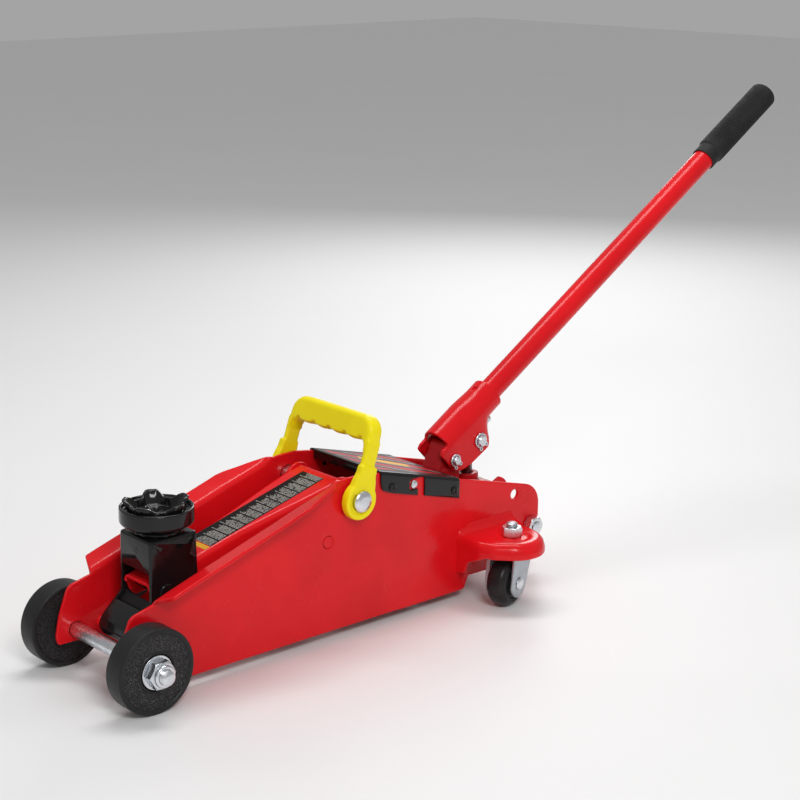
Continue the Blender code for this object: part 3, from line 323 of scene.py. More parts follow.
def printed_label():
    """A dark generic data panel: rows of short grey dashes across the arm, with no lettering."""
    material, tree = new_material("arm_label_print", Specular_IOR_Level=0.12)
    across = along(tree, (0, 0, 0), (0, 1, 0))
    row_pitch, dash_pitch, rows_in_block = 0.00135, 0.0006, 7.0
    rows = along(tree, (AXLE_X, 0, 0), (ARM_TOP_U[0], 0, ARM_TOP_U[1])) / row_pitch
    row = rows.calculate("FLOOR")
    block = (row / rows_in_block).calculate("FRACT")
    line = abs(rows.calculate("FRACT") - 0.5) < 0.27
    reach = scatter(row).ramp(0.0040, 0.0080) + (block < 0.10) * 0.0040
    dash = scatter(row, (across / dash_pitch).calculate("FLOOR")) > 0.20
    ink = line * (across < reach) * (across > -0.0122) * (block < 0.80) * dash
    shade = ink.mix((0.005, 0.005, 0.005), (0.40, 0.39, 0.36))
    return finish(material, shade, noise_at(tree, 90.0).ramp(0.3, 0.5))


def cover_print():
    """Slanting generic stripes in red, grey, yellow and black on the cover's top."""
    material, tree = new_material("cover_print", Specular_IOR_Level=0.15)
    low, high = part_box("cover_plate")
    middle = (low + high) / 2
    slant = along(tree, middle, (0.55, 1.0, 0.0))
    waves = noise_at(tree, 30.0)
    stripe = ((slant + waves.ramp(-0.008, 0.008)) / 0.026).calculate("FRACT")
    shade = (0.52, 0.008, 0.016)
    for start, colour in ((0.50, (0.007, 0.007, 0.008)), (0.76, (0.40, 0.38, 0.38)),
                          (0.86, (0.010, 0.010, 0.011))):
        shade = stripe.ramp(0.0, 1.0, start, start + 0.02).mix(shade, colour)
    accent = abs(slant - 0.004) < 0.0065
    accent = accent * (abs(along(tree, middle, (1.0, -0.55, 0.0))) < 0.022)
    shade = accent.mix(shade, (0.80, 0.42, 0.015))
    wear = noise_at(tree, 260.0, 5.0, 0.7).ramp(0.0, 0.5, 0.6, 0.72)
    shade = (wear * 0.5).mix(shade, (0.10, 0.10, 0.10))
    ends = abs(along(tree, middle, (1, 0, 0))) > (high.x - low.x) / 2 - 0.006
    sides = abs(along(tree, (0, 0, 0), (0, 1, 0))) > 0.035
    shade = ends.calculate("MAXIMUM", sides).mix(shade, (0.012, 0.012, 0.013))
    return finish(material, shade, waves.ramp(0.28, 0.45))


ARM_TOP_U = (math.cos(math.radians(15.4)), math.sin(math.radians(15.4)))


def make_materials():
    """Every paint, metal and rubber of the jack by its short name."""
    return {
        "red": enamel("red_enamel", (0.80, 0.009, 0.014), (0.68, 0.006, 0.011),
                      (0.88, 0.14, 0.12), 0.20, 0.16),
        # A darker, rougher copy of the red enamel for the parts inside the frame: the rougher cast finish is real,
        # the darker red is painted shade.
        "cast_red_painted_shade": enamel("red_enamel_cast_painted_shade", (0.50, 0.008, 0.014), (0.38, 0.006, 0.010),
                           (0.62, 0.10, 0.09), 0.34, 0.12, 0.0001),
        "black": enamel("black_enamel", (0.0085, 0.0085, 0.009), (0.006, 0.006, 0.0065),
                        (0.09, 0.09, 0.09), 0.15, 0.38, 0.00006),
        "black_satin": enamel("black_satin", (0.013, 0.013, 0.014), (0.009, 0.009, 0.010),
                              (0.10, 0.10, 0.10), 0.42, 0.04),
        "tread": moulded("wheel_tread", (0.020, 0.020, 0.021), (0.013, 0.013, 0.014), 0.46,
                         700.0, 0.00004),
        "grain": grainy_face(),
        "caster_tread": moulded("caster_tread", (0.014, 0.012, 0.013), (0.022, 0.018, 0.019),
                                0.30, 500.0, 0.00003),
        "yellow": moulded("yellow_moulding", (0.98, 0.84, 0.006), (0.94, 0.78, 0.004), 0.36,
                          900.0, 0.00003),
        "rubber": moulded("grip_rubber", (0.016, 0.016, 0.017), (0.010, 0.010, 0.011), 0.62,
                          1400.0, 0.00008, 0.35),
        "zinc": plated("zinc_plate", (0.80, 0.82, 0.85), (0.66, 0.70, 0.75), 0.27),
        "zinc_flat": plated("zinc_sheet", (0.50, 0.53, 0.56), (0.42, 0.46, 0.50), 0.38,
                            (1, 1, 6), 500.0),
        "steel": plated("turned_steel", (0.60, 0.60, 0.61), (0.48, 0.48, 0.49), 0.24,
                        (12, 1, 12), 300.0),
        "dark_steel": plated("oiled_steel", (0.20, 0.20, 0.205), (0.12, 0.12, 0.125), 0.26),
    }


# ---------------------------------------------------------------- outline helpers
def arc(centre, radius, start, end, count):
    """Points of an arc in degrees, both ends included."""
    angles = [math.radians(start + (end - start) * i / (count - 1)) for i in range(count)]
    return [(centre[0] + radius * math.cos(a), centre[1] + radius * math.sin(a)) for a in angles]


def fillet(points, radius, steps=5, closed=True):
    """Rounds an outline's corners; radius is one number or one for each point."""
    rounded = []
    count = len(points)
    for i, point in enumerate(points):
        size = radius[i] if isinstance(radius, (list, tuple)) else radius
        if size <= 0 or (not closed and i in (0, count - 1)):
            rounded.append(tuple(point))
            continue
        corner = Vector(point)
        back = Vector(points[i - 1]) - corner
        ahead = Vector(points[(i + 1) % count]) - corner
        room = 0.48 * min(back.length, ahead.length)
        half = back.angle(ahead) / 2
        if half > math.radians(88):
            rounded.append(tuple(point))
            continue
        reach = min(size / math.tan(half), room)
        back.normalize()
        ahead.normalize()
        centre = corner + (back + ahead).normalized() * reach / math.cos(half)
        first = corner + back * reach - centre
        last = corner + ahead * reach - centre
        turn = math.atan2(first.x * last.y - first.y * last.x, first.dot(last))
        for k in range(steps + 1):
            spin = Matrix.Rotation(turn * k / steps, 2)
            rounded.append(tuple(centre + spin @ first))
    return rounded


def inset(points, distances):
    """Moves a closed outline inwards; distances is one number or one for each point."""
    count = len(points)
    area = sum(points[i - 1][0] * points[i][1] - points[i][0] * points[i - 1][1]
               for i in range(count))
    sign = 1.0 if area > 0 else -1.0
    moved = []
    for i in range(count):
        here = Vector(points[i])
        before = (here - Vector(points[i - 1])).normalized()
        after = (Vector(points[(i + 1) % count]) - here).normalized()
        normal_a = Vector((-before.y, before.x)) * sign
        normal_b = Vector((-after.y, after.x)) * sign
        scale = 1.0 + max(normal_a.dot(normal_b), -0.5)
        distance = distances[i] if isinstance(distances, (list, tuple)) else distances
        moved.append(tuple(here + (normal_a + normal_b) / scale * distance))
    return moved


def mirrored(half):
    """A turned profile from its negative half, both ends alike."""
    return half + [(r, -y) for r, y in reversed(half)]


def on_axis(point):
    """A pivot's (x, z) as a place on the middle plane."""
    return (point[0], 0, point[1])


def span(side, near, far):
    """Lowest and highest Y of a body that lies between two distances from the middle plane."""
    return sorted((side * near, side * far))


def smoothstep(low, high, value):
    """0 below low, 1 above high and an even S between."""
    t = min(1.0, max(0.0, (value - low) / (high - low)))
    return t * t * (3 - 2 * t)


def between(table, x):
    """Linear interpolation in a list of (x, value) pairs."""
    if x <= table[0][0]:
        return table[0][1]
    for (x0, v0), (x1, v1) in zip(table, table[1:]):
        if x <= x1:
            return v0 + (v1 - v0) * (x - x0) / (x1 - x0)
    return table[-1][1]


# ---------------------------------------------------------------- mesh helpers
def loft(rings, closed_ring=True, caps=True, loop=False, bands=None):
    """Faces between rings of equal length; bands gives each band's material number."""
    data = bmesh.new()
    rows = [[data.verts.new(point) for point in ring] for ring in rings]
    count = len(rings[0])
    pairs = list(zip(rows, rows[1:]))
    if loop:
        pairs.append((rows[-1], rows[0]))
    for band, (low, high) in enumerate(pairs):
        for i in range(count if closed_ring else count - 1):
            j = (i + 1) % count
            face = data.faces.new((low[i], low[j], high[j], high[i]))
            face.material_index = bands[band] if bands else 0
    if caps and closed_ring and not loop:
        data.faces.new(rows[0])
        data.faces.new(rows[-1])
    return data


def turned(profile, centre, direction, facets=72, closed=False, bands=None, shape=None):
    """Turns (radius, height) pairs round an axis. shape may change the radius by the angle."""
    turn = Vector((0, 0, 1)).rotation_difference(Vector(direction).normalized()).to_matrix()
    rings = []
    for radius, height in profile:
        ring = []
        for i in range(facets):
            angle = 2 * math.pi * i / facets
            r, h = shape(radius, height, angle) if shape else (radius, height)
            ring.append(turn @ Vector((r * math.cos(angle), r * math.sin(angle), h))
                        + Vector(centre))
        rings.append(ring)
    return loft(rings, caps=not closed, loop=closed, bands=bands)


def lathe(corners, radii, centre, direction, facets=48, steps=4, closed=False):
    """Turns an outline with rounded corners round an axis. A closed one makes a ring."""
    profile = fillet(corners, radii, steps, closed=closed)
    return turned(profile, centre, direction, facets, closed=closed)


def slab(outline, low, high, edge=0.6, axis="Y", steps=3):
    """A plate with rounded edges: an outline extruded along an axis. edge may vary by point."""
    def placed(point, level):
        if axis == "Y":
            return (point[0], level, point[1])
        if axis == "Z":
            return (point[0], point[1], level)
        return (level, point[0], point[1])

    def scaled(factor):
        if isinstance(edge, (list, tuple)):
            return [value * factor for value in edge]
        return edge * factor

    depth = max(edge) if isinstance(edge, (list, tuple)) else edge
    rings = []
    for end, sign in ((low, 1), (high, -1)):
        group = []
        for k in range(steps + 1):
            angle = math.pi / 2 * k / steps
            level = end + sign * depth * (1 - math.cos(angle))
            group.append([placed(p, level) for p in inset(outline, scaled(1 - math.sin(angle)))])
        rings += group if sign > 0 else list(reversed(group))
    return loft(rings)


def merged(*parts):
    """One mesh from several closed bodies that touch or overlap."""
    whole = bmesh.new()
    for part in parts:
        mesh = bpy.data.meshes.new("part")
        part.to_mesh(mesh)
        part.free()
        whole.from_mesh(mesh)
        bpy.data.meshes.remove(mesh)
    return whole


def swept(points, radius, facets=12, side=(0, 1, 0)):
    """A round wire through points; radius is one number or one for each point."""
    path = [Vector(point) for point in points]
    side = Vector(side)
    rings = []
    for i, point in enumerate(path):
        forward = (path[min(i + 1, len(path) - 1)] - path[max(i - 1, 0)]).normalized()
        side = (side - forward * side.dot(forward)).normalized()
        up = forward.cross(side)
        size = radius[i] if isinstance(radius, (list, tuple)) else radius
        rings.append([point + size * (math.cos(a) * side + math.sin(a) * up)
                      for a in (2 * math.pi * k / facets for k in range(facets))])
    return loft(rings)


def hex_nut(centre, direction, across, bore, low, high, collar=0.0):
    """A chamfered hexagon nut, with a round locking collar when one is given."""
    flat = across / 2

    def hexagon(radius, height, angle):
        if radius < flat * 0.99:
            return radius, height
        side = (angle % (math.pi / 3)) - math.pi / 6
        reach = flat / math.cos(side)
        return min(reach, radius), height

    corner = flat / math.cos(math.pi / 6)
    drop = (corner - flat * 0.98) * math.tan(math.radians(30))
    top = high - collar
    profile = [(bore, low), (flat * 0.98, low)]
    steps = 5
    for k in range(1, steps + 1):
        share = k / steps
        profile.append((flat * 0.98 + (corner - flat * 0.98) * share, low + drop * share))
    for k in range(steps, -1, -1):
        share = k / steps
        profile.append((flat * 0.98 + (corner - flat * 0.98) * share, top - drop * share))
    if collar:
        ring = flat * 0.86
        profile += [(ring, top + 0.2), (ring, high - 1.0), (ring - 0.4, high - 0.3),
                    (ring - 1.0, high)]
    profile.append((bore, high))
    return turned(profile, centre, direction, 96, closed=True, shape=hexagon)


def place_mesh(name, data, materials):
    """Puts a body given in millimetres into the scene, in metres."""
    bmesh.ops.recalc_face_normals(data, faces=data.faces)
    for vertex in data.verts:
        vertex.co = Vector((AXLE_X, 0, 0)) + vertex.co * MM
    mesh = bpy.data.meshes.new(name)
    data.to_mesh(mesh)
    data.free()
    for material in materials:
        mesh.materials.append(PAINT[material])
    item = bpy.data.objects.new(name, mesh)
    bpy.context.scene.collection.objects.link(item)
    return item


def settle(item):
    """Applies the modifiers, so that the mesh is final."""
    depsgraph = bpy.context.evaluated_depsgraph_get()
    mesh = bpy.data.meshes.new_from_object(item.evaluated_get(depsgraph))
    item.modifiers.clear()
    item.data = mesh


def carve(item, tools, operation="DIFFERENCE"):
    """Cuts or joins closed bodies, given in millimetres."""
    helpers = []
    for data in tools:
        tool = place_mesh("tool", data, [])
        modifier = item.modifiers.new("carve", "BOOLEAN")
        modifier.operation = operation
        modifier.object = tool
        helpers.append(tool)
    settle(item)
    for tool in helpers:
        bpy.data.objects.remove(tool)


def thicken(item, thickness):
    """Gives a sheet its thickness, half on each side."""
    modifier = item.modifiers.new("thicken", "SOLIDIFY")
    modifier.thickness = thickness * MM
    modifier.offset = 0.0
    modifier.use_even_offset = True
    settle(item)


def round_edges(item, width, segments=3, angle=40):
    """Rounds the edges that are sharper than the angle."""
    modifier = item.modifiers.new("round", "BEVEL")
    modifier.width = width * MM
    modifier.segments = segments
    modifier.limit_method = "ANGLE"
    modifier.angle_limit = math.radians(angle)
    modifier.use_clamp_overlap = False
    modifier.miter_outer = "MITER_ARC"
    settle(item)


def fuse(item, voxel, repeat, factor=0.5):
    """Melts overlapping bodies into one skin with soft inner corners."""
    modifier = item.modifiers.new("fuse", "REMESH")
    modifier.mode = "VOXEL"
    modifier.voxel_size = voxel * MM
    modifier.use_smooth_shade = True
    relax = item.modifiers.new("relax", "SMOOTH")
    relax.factor = factor
    relax.iterations = repeat
    settle(item)


def shade(item, angle=38):
    """Smooth shading, with creases kept where faces meet at more than the angle."""
    item.data.shade_smooth()
    item.data.set_sharp_from_angle(angle=math.radians(angle))


def adopt(item, *nodes, angle=38):
    """The piece stands for CAD nodes: it rides on their body and hides them."""
    shade(item, angle)
    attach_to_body(item, BODY_OF[nodes[0]])
    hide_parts(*nodes)
    return item


def stand_in(node, data, *materials, angle=38):
    """A finer piece that takes the place of one CAD node."""
    return adopt(place_mesh(node + "_fine", data, materials), node, angle=angle)


def attach(name, data, material, node, angle=38):
    """An extra piece that rides with a CAD node's body."""
    item = place_mesh(name, data, [material])
    shade(item, angle)
    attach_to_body(item, BODY_OF[node])


PAINT = make_materials()


# ---------------------------------------------------------------- side plates
TOP_EDGE = [(16.0, 79.0), (30.0, 83.8), (50.0, 90.2), (70.0, 96.3), (90.0, 102.6), (110.0, 108.8),
            (130.0, 115.0), (150.0, 121.6), (170.0, 127.6), (187.6, 133.0), (198.0, 134.9),
            (208.7, 136.2)]
LIP_SHARES = [(152.0, 1.0), (160.0, 0.90), (170.0, 0.66), (180.0, 0.46), (190.0, 0.22),
              (199.0, 0.0)]
LIP_START = 16.3
LIP_END = 202.0
BEND_R = 4.0
BEND_ANGLE = math.radians(78)
LIP_STRAIGHT = 14.65
SHEET_EDGE = 0.8


def bend_share(x):
    """How much of the top edge's bend there is at X."""
    return smoothstep(8.0, 16.5, x) * (1 - smoothstep(186.0, LIP_END, x))


def bend_line(x):
    """Height at which the flat plate starts to bend outwards."""
    return between(TOP_EDGE, x) - 5.4 * bend_share(x)


def lip_top(x):
    """Top of the flat pattern, with the unrolled lip."""
    straight = LIP_STRAIGHT * between(LIP_SHARES, x)
    return bend_line(x) + bend_share(x) * BEND_R * BEND_ANGLE + straight


def bent(x, z):
    """A point of the flat plate, put on the middle surface of the bent one."""
    rise = z - bend_line(x)
    y = PLATE_MID
    if 8.0 < x < LIP_END and rise > 0:
        angle = min(rise / BEND_R, BEND_ANGLE)
        y += BEND_R * (1 - math.cos(angle))
        z = bend_line(x) + BEND_R * math.sin(angle)
        straight = max(0.0, rise - BEND_R * BEND_ANGLE)
        y += straight * math.sin(BEND_ANGLE)
        z += straight * math.cos(BEND_ANGLE)
    else:
        step = smoothstep(338.0, 348.0, x)
        y -= 0.5 * step
        crease = (x - 258.0) * 0.42 + 2.0 - (z - 26.0) + 14.0 * math.sin((x - 258.0) / 32.0)
        y += 0.7 * smoothstep(-5.0, 5.0, crease) * smoothstep(250.0, 275.0, x) * (1 - step)
    return Vector((x, y, z))


def sheet_point(x, z, level, side):
    """A point of the bent plate at a distance from its middle surface."""
    step = 0.05
    run = bent(x + step, z) - bent(x - step, z)
    climb = bent(x, z + step) - bent(x, z - step)
    normal = climb.cross(run).normalized()
    point = bent(x, z) + normal * level
    return Vector((point.x, side * point.y, point.z))


def plate_outline():
    """The flat pattern: bottom, rear, top with the unrolled lip, and the front nose."""
    corners = [(2.0, 23.8), (36.0, 8.6), (339.5, 8.7), (346.0, 19.4), (424.0, 18.0), (438.5, 15.6),
               (432.0, 27.0), (432.0, 83.9), (244.4, 132.6), (222.0, 136.2)]
    radii = [20.0, 20.0, 5.0, 3.0, 30.0, 1.8, 4.0, 21.0, 30.0, 25.0]
    lip = []
    x = 204.0
    while x > 28.0:
        lip.append((x, lip_top(x)))
        x -= 2.5
    front = [(22.5, lip_top(22.5)), (LIP_START, bend_line(LIP_START) + 5.6), (15.6, 75.2)]
    nose = [(-5.6, 70.0), (-14.2, 48.0), (-17.8, 31.0), (-16.2, 23.8)]
    outline = fillet(corners + lip + front + nose,
                     radii + [0] * len(lip) + [4.5, 1.0, 1.5, 9.0, 30.0, 12.0, 3.0], 8)
    return dense_loop(outline, 4.0)


def dense_loop(outline, longest):
    """The same outline with extra points on its long edges."""
    dense = []
    for i, point in enumerate(outline):
        before = Vector(outline[i - 1])
        step = Vector(point) - before
        parts = max(1, int(step.length / longest))
        dense += [tuple(before + step * k / parts) for k in range(1, parts + 1)]
    return dense


def inside(point, polygon):
    """Whether a point lies within an outline."""
    hit = False
    for i in range(len(polygon)):
        (xa, za), (xb, zb) = polygon[i - 1], polygon[i]
        if (za > point[1]) != (zb > point[1]):
            if point[0] < xa + (point[1] - za) * (xb - xa) / (zb - za):
                hit = not hit
    return hit


def distance_to(point, polygon):
    """Distance to the outline's nearest corner."""
    return min((Vector(point) - Vector(corner)).length for corner in polygon)


def flat_net(outline, holes):
    """A triangle net of the outline without its holes, finer where the lip bends."""
    points = list(outline)
    edges = [(i, (i + 1) % len(outline)) for i in range(len(outline))]
    for hole in holes:
        first = len(points)
        points += hole
        edges += [(first + i, first + (i + 1) % len(hole)) for i in range(len(hole))]
    loops = [outline] + holes
    grid = []
    for column in range(-3, 90):
        x = column * 5.0 + 2.5
        grid += [(x, row * 5.0 + 2.5) for row in range(1, 28)]
    for column in range(7, 82):
        x = column * 2.5
        bend = bend_share(x) * BEND_R * BEND_ANGLE
        straight = LIP_STRAIGHT * between(LIP_SHARES, x)
        grid += [(x, bend_line(x) + bend * k / 6) for k in range(7)]
        grid += [(x, bend_line(x) + bend + straight * k / 4) for k in range(1, 4)]
    for point in grid:
        fine = point[1] > bend_line(point[0]) - 0.1 and LIP_START < point[0] < LIP_END
        margin = 0.7 if fine else 1.9
        if inside(point, outline) and not any(inside(point, hole) for hole in holes):
            if all(distance_to(point, loop) > margin for loop in loops):
                points.append(point)
    verts, _, faces, _, _, _ = delaunay_2d_cdt([Vector(p) for p in points], edges, [], 1, 1e-5)
    kept = []
    for face in faces:
        middle = sum((verts[i] for i in face), Vector((0, 0))) / len(face)
        if inside(middle, outline) and not any(inside(middle, hole) for hole in holes):
            kept.append(face)
    return verts, kept


def make_side_plate(name, side, net, loops):
    """Two skins over the flat pattern's net and a rounded rim round every loop."""
    verts, faces = net
    half = PLATE_T / 2
    data = bmesh.new()
    for level in (half, -half):
        made = [data.verts.new(sheet_point(v.x, v.y, level, side)) for v in verts]
        for face in faces:
            data.faces.new([made[i] for i in face])
    for loop, sign in loops:
        rings = []
        for end in (1, -1):
            group = []
            for k in range(5):
                angle = math.pi / 2 * k / 4
                offset = sign * SHEET_EDGE * (1 - math.sin(angle))
                level = end * (half - SHEET_EDGE * (1 - math.cos(angle)))
                group.append([data.verts.new(sheet_point(x, z, level, side))
                              for x, z in inset(loop, offset)])
            rings += group if end > 0 else list(reversed(group))
        for low, high in zip(rings, rings[1:]):
            for i in range(len(low)):
                j = (i + 1) % len(low)
                data.faces.new((low[i], low[j], high[j], high[i]))
    loose = [v for v in data.verts if not v.link_faces]
    bmesh.ops.delete(data, geom=loose, context="VERTS")
    bmesh.ops.remove_doubles(data, verts=data.verts, dist=0.003)
    adopt(place_mesh(name + "_fine", data, ["red"]), name, angle=32)


EAR_R = 27.3
EAR_TOP = 60.0
EAR_RIM = 48.2
EAR_ROOT = PLATE_Y - 1.55
EAR_FILLET = 9.0
EAR_ROLL = 7.0


def ear_plan(share):
    """Outline point of the ear, from its front root (0) round the stud to its rear root (1)."""
    front = [(331.2, EAR_ROOT), (331.6, 70.0), (336.4, 83.0)]
    rear = [(401.0, 54.0), (401.0, EAR_ROOT)]
    corners = front + arc(STUD, EAR_R, 140, -16, 22) + rear
    path = fillet(corners, [0, 12, 8] + [3] * 24, 5, closed=False)
    lengths = [0.0]
    for a, b in zip(path, path[1:]):
        lengths.append(lengths[-1] + math.dist(a, b))
    target = share * lengths[-1]
    for i in range(len(path) - 1):
        if lengths[i + 1] >= target or i == len(path) - 2:
            t = (target - lengths[i]) / max(lengths[i + 1] - lengths[i], 1e-6)
            a, b = path[i], path[i + 1]
            return (a[0] + (b[0] - a[0]) * t, a[1] + (b[1] - a[1]) * t), target


def ear_height(x, y, to_rim):
    """Middle surface of the ear: flat, rolled over at the rim and swept up into the plate."""
    z = EAR_TOP - PLATE_T / 2
    if to_rim < EAR_ROLL:
        z -= EAR_ROLL - math.sqrt(max(0.0, EAR_ROLL ** 2 - (EAR_ROLL - to_rim) ** 2))
    climb = max(0.0, y - EAR_ROOT)
    if climb < EAR_FILLET:
        z += EAR_FILLET - math.sqrt(EAR_FILLET ** 2 - (EAR_FILLET - climb) ** 2)
    ring = math.dist((x, y), STUD)
    return z - 0.9 * smoothstep(9.5, 12.5, ring) * (1 - smoothstep(13.5, 18.0, ring))


def thick_rings(rings, thickness, side):
    """Closed rings round a sheet given by rows of middle points; the free edge is rounded."""
    closed = []
    last = len(rings) - 1
    for k, ring in enumerate(rings):
        normals = []
        for i, point in enumerate(ring):
            along_row = ring[min(i + 1, len(ring) - 1)] - ring[max(i - 1, 0)]
            across = rings[min(k + 1, last)][i] - rings[max(k - 1, 0)][i]
            normals.append(across.cross(along_row).normalized() * side)
        half = thickness / 2
        end = (ring[-1] - ring[-2]).normalized()
        tip = [ring[-1] + normals[-1] * half * math.cos(a) + end * half * math.sin(a)
               for a in (math.pi * j / 8 for j in range(1, 8))]
        outer = [point + normal * half for point, normal in zip(ring, normals)]
        inner = [point - normal * half for point, normal in zip(ring, normals)]
        closed.append(outer + tip + list(reversed(inner)))
    return closed


def make_ear(name, side):
    """The pressed dish over a caster: a flat top, a rolled rim and a fillet up the plate."""
    rings = []
    count = 110
    for k in range(count + 1):
        share = k / count
        rim, run = ear_plan(share)
        root = (332.4 + 67.6 * share, EAR_ROOT)
        reach = math.dist(rim, root)
        low = between([(0.0, 27.0), (11.0, 29.5), (13.0, 32.0), (14.5, 39.5), (34.0, EAR_RIM)], run)
        ring = []
        steps = 30
        for i in range(steps + 1):
            t = i / steps
            x = root[0] + (rim[0] - root[0]) * t
            y = root[1] + (rim[1] - root[1]) * t
            ring.append(Vector((x, side * y, ear_height(x, y, reach * (1 - t)))))
        edge_z = ring[-1].z
        for i in range(1, 5):
            ring.append(Vector((rim[0], side * rim[1], edge_z + (low - edge_z) * i / 4)))
        rings.append(ring)
    attach(name + "_ear", loft(thick_rings(rings, PLATE_T, side)), "red", name, angle=50)


def make_plates():
    """Both side plates with their holes, and the ear on each."""
    outline = plate_outline()
    facets = 28
    holes = [arc((x, z), r, 360 / facets * (facets - 1), 0, facets) for x, z, r in (
        (0.0, WHEEL_R, AXLE_R + 0.3), (*ARM_PIVOT, 8.3), (*TIE, 5.3), (*ROD_PIVOT, 5.3),
        (400.8, 81.8, 4.3))]
    net = flat_net(inset(outline, SHEET_EDGE), [inset(hole, -SHEET_EDGE) for hole in holes])
    loops = [(outline, 1)] + [(hole, -1) for hole in holes]
    for name, side in SIDES:
        make_side_plate("side_plate_" + name, side, net, loops)
        make_ear("side_plate_" + name, side)


# ---------------------------------------------------------------- wheels, axle and ties
FINE_THREAD = (1.25, 0.3)


def thread(radius, low, high, pitch=1.5, depth=0.35):
    """Profile points of a threaded length."""
    count = int((high - low) / pitch)
    points = []
    for i in range(count):
        base = low + i * pitch
        points += [(radius, base), (radius, base + pitch * 0.3),
                   (radius - depth, base + pitch * 0.55), (radius - depth, base + pitch * 0.75)]
    return points + [(radius, high)]


def make_front_wheel(name, side):
    """A solid wheel: a smooth tread, a grainy face with a raised rim and a sunk hub."""
    outer, inner = WHEEL_OUTER_Y, WHEEL_OUTER_Y - WHEEL_WIDTH
    hub = 11.2
    corners = [(AXLE_R + 0.4, 44.3), (hub, 44.3), (hub, inner + 1.5), (29.0, inner + 1.5),
               (30.0, inner), (WHEEL_R, inner), (WHEEL_R, outer), (30.2, outer),
               (29.2, outer - 0.9), (16.6, outer - 0.9), (15.8, outer - 0.1), (14.6, outer - 0.1),
               (13.9, outer - 2.5), (AXLE_R + 0.4, outer - 2.5)]
    radii = [0, 1, 0, 0.5, 0.5, 3.2, 3.2, 0.4, 0.3, 0.3, 0.4, 0.4, 0.2, 0]
    profile = fillet(corners, radii, 5)
    bands = []
    for i, point in enumerate(profile):
        after = profile[(i + 1) % len(profile)]
        radius = (point[0] + after[0]) / 2
        flat = abs(point[1] - after[1]) < 0.2
        bands.append(1 if flat and 16 < radius < 29 else 0)
    data = turned(profile, (0, 0, WHEEL_R), (0, side, 0), 128, closed=True, bands=bands)
    stand_in("front_wheel_" + name, data, "tread", "grain")


def make_front_end():
    """The axle with its threaded ends, both wheels, and a washer and locking nut on each."""
    tip = AXLE_HALF
    shank = 68.0
    threads = thread(AXLE_R - 0.1, shank + 1.0, tip - 1.6)
    half = [(2.0, -tip), (4.2, -tip + 0.4), (5.4, -tip + 1.3)]
    half += [(r, -y) for r, y in reversed(threads)] + [(AXLE_R, -shank)]
    stand_in("front_axle", turned(mirrored(half), (0, 0, WHEEL_R), Y_AXIS, 48), "zinc")
    for name, side in SIDES:
        make_front_wheel(name, side)
        start = WHEEL_OUTER_Y - 2.3
        high = start + 2.2
        washer_r = 13.4
        corners = [(6.3, start), (washer_r, start), (washer_r, high), (6.3, high)]
        washer = lathe(corners, 0.5, (0, 0, WHEEL_R), (0, side, 0), 64, 3, closed=True)
        stand_in("front_washer_" + name, washer, "zinc")
        low = high + 0.3
        nut = hex_nut((0, 0, WHEEL_R), (0, side, 0), 20.5, 6.2, low, low + 10.5, 3.2)
        stand_in("front_nut_" + name, nut, "zinc")


def make_tie_rod():
    """The rod across the plates' rear end, threaded into a nut on each side."""
    reach = PLATE_Y + 9.5
    threads = thread(4.95, PLATE_Y - 2, reach - 0.8, *FINE_THREAD)
    half = [(2.5, -reach), (4.4, -reach + 0.6)] + [(r, -y) for r, y in reversed(threads)]
    stand_in("rear_tie_rod", turned(mirrored(half), on_axis(TIE), Y_AXIS, 40), "zinc")
    for name, side in SIDES:
        low = PLATE_Y + 0.3
        nut = hex_nut(on_axis(TIE), (0, side, 0), 16, 5.2, low, low + 7.5)
        stand_in("tie_rod_nut_" + name, nut, "zinc")


# ---------------------------------------------------------------- lifting arm
ARM_TOP = [(31.0, 79.5), (43.0, 82.8), (95.0, 97.1), (140.0, 109.5), (180.0, 120.5),
           (205.0, 127.4), (218.0, 131.0)]
ARM_BOTTOM = [(31.0, 77.0), (34.0, 66.0), (39.0, 60.5), (47.0, 61.5), (95.0, 72.0), (140.0, 84.0),
              (180.0, 94.0), (205.0, 98.0), (218.0, 98.0)]
ARM_T = 3.0


def arm_half(x):
    """Outer half width of the arm at X."""
    return 17.6 + 11.4 * smoothstep(100.0, 214.0, x)


def make_lift_arm():
    """A folded channel: a flat top with rounded shoulders and two cheeks."""
    rings = []
    x = 30.2
    corner = 4.0
    while x < 218.01:
        half = arm_half(x) - ARM_T / 2
        top = between(ARM_TOP, x) - ARM_T / 2
        bottom = min(between(ARM_BOTTOM, x), top - corner - 0.5)
        leg = [(-half, bottom + (top - corner - bottom) * i / 5) for i in range(5)]
        bend = arc((-half + corner, top - corner), corner, 180, 90, 7)
        flat = [(-half + corner + (half - corner) * i / 4, top) for i in range(1, 4)]
        left = leg + bend + flat
        section = left + [(0.0, top)] + [(-y, z) for y, z in reversed(left)]
        rings.append([(x, y, z) for y, z in section])
        x += 2.0 if x < 46 else 4.0
    arm = place_mesh("lift_arm_fine", loft(rings, closed_ring=False, caps=False), ["red"])
    thicken(arm, ARM_T)
    round_edges(arm, 0.7, 3, 60)
    crank = disc_pair(ARM_PIVOT, 14.0, CRANK_PIN, 11.0)
    cranks = [slab(crank, *span(side, 25.9, 28.7), 0.6) for side in (-1, 1)]
    attach("lift_arm_cranks", merged(*cranks), "red", "lift_arm")
    adopt(arm, "lift_arm")
    make_arm_label()


def disc_pair(a, radius_a, b, radius_b, count=18):
    """The outline of two discs and the straight tangents that join them."""
    angle = math.degrees(math.atan2(b[1] - a[1], b[0] - a[0]))
    spread = math.degrees(math.acos((radius_a - radius_b) / math.dist(a, b)))
    first = arc(a, radius_a, angle + spread, angle + 360 - spread, count)
    return first + arc(b, radius_b, angle - spread, angle + spread, count)


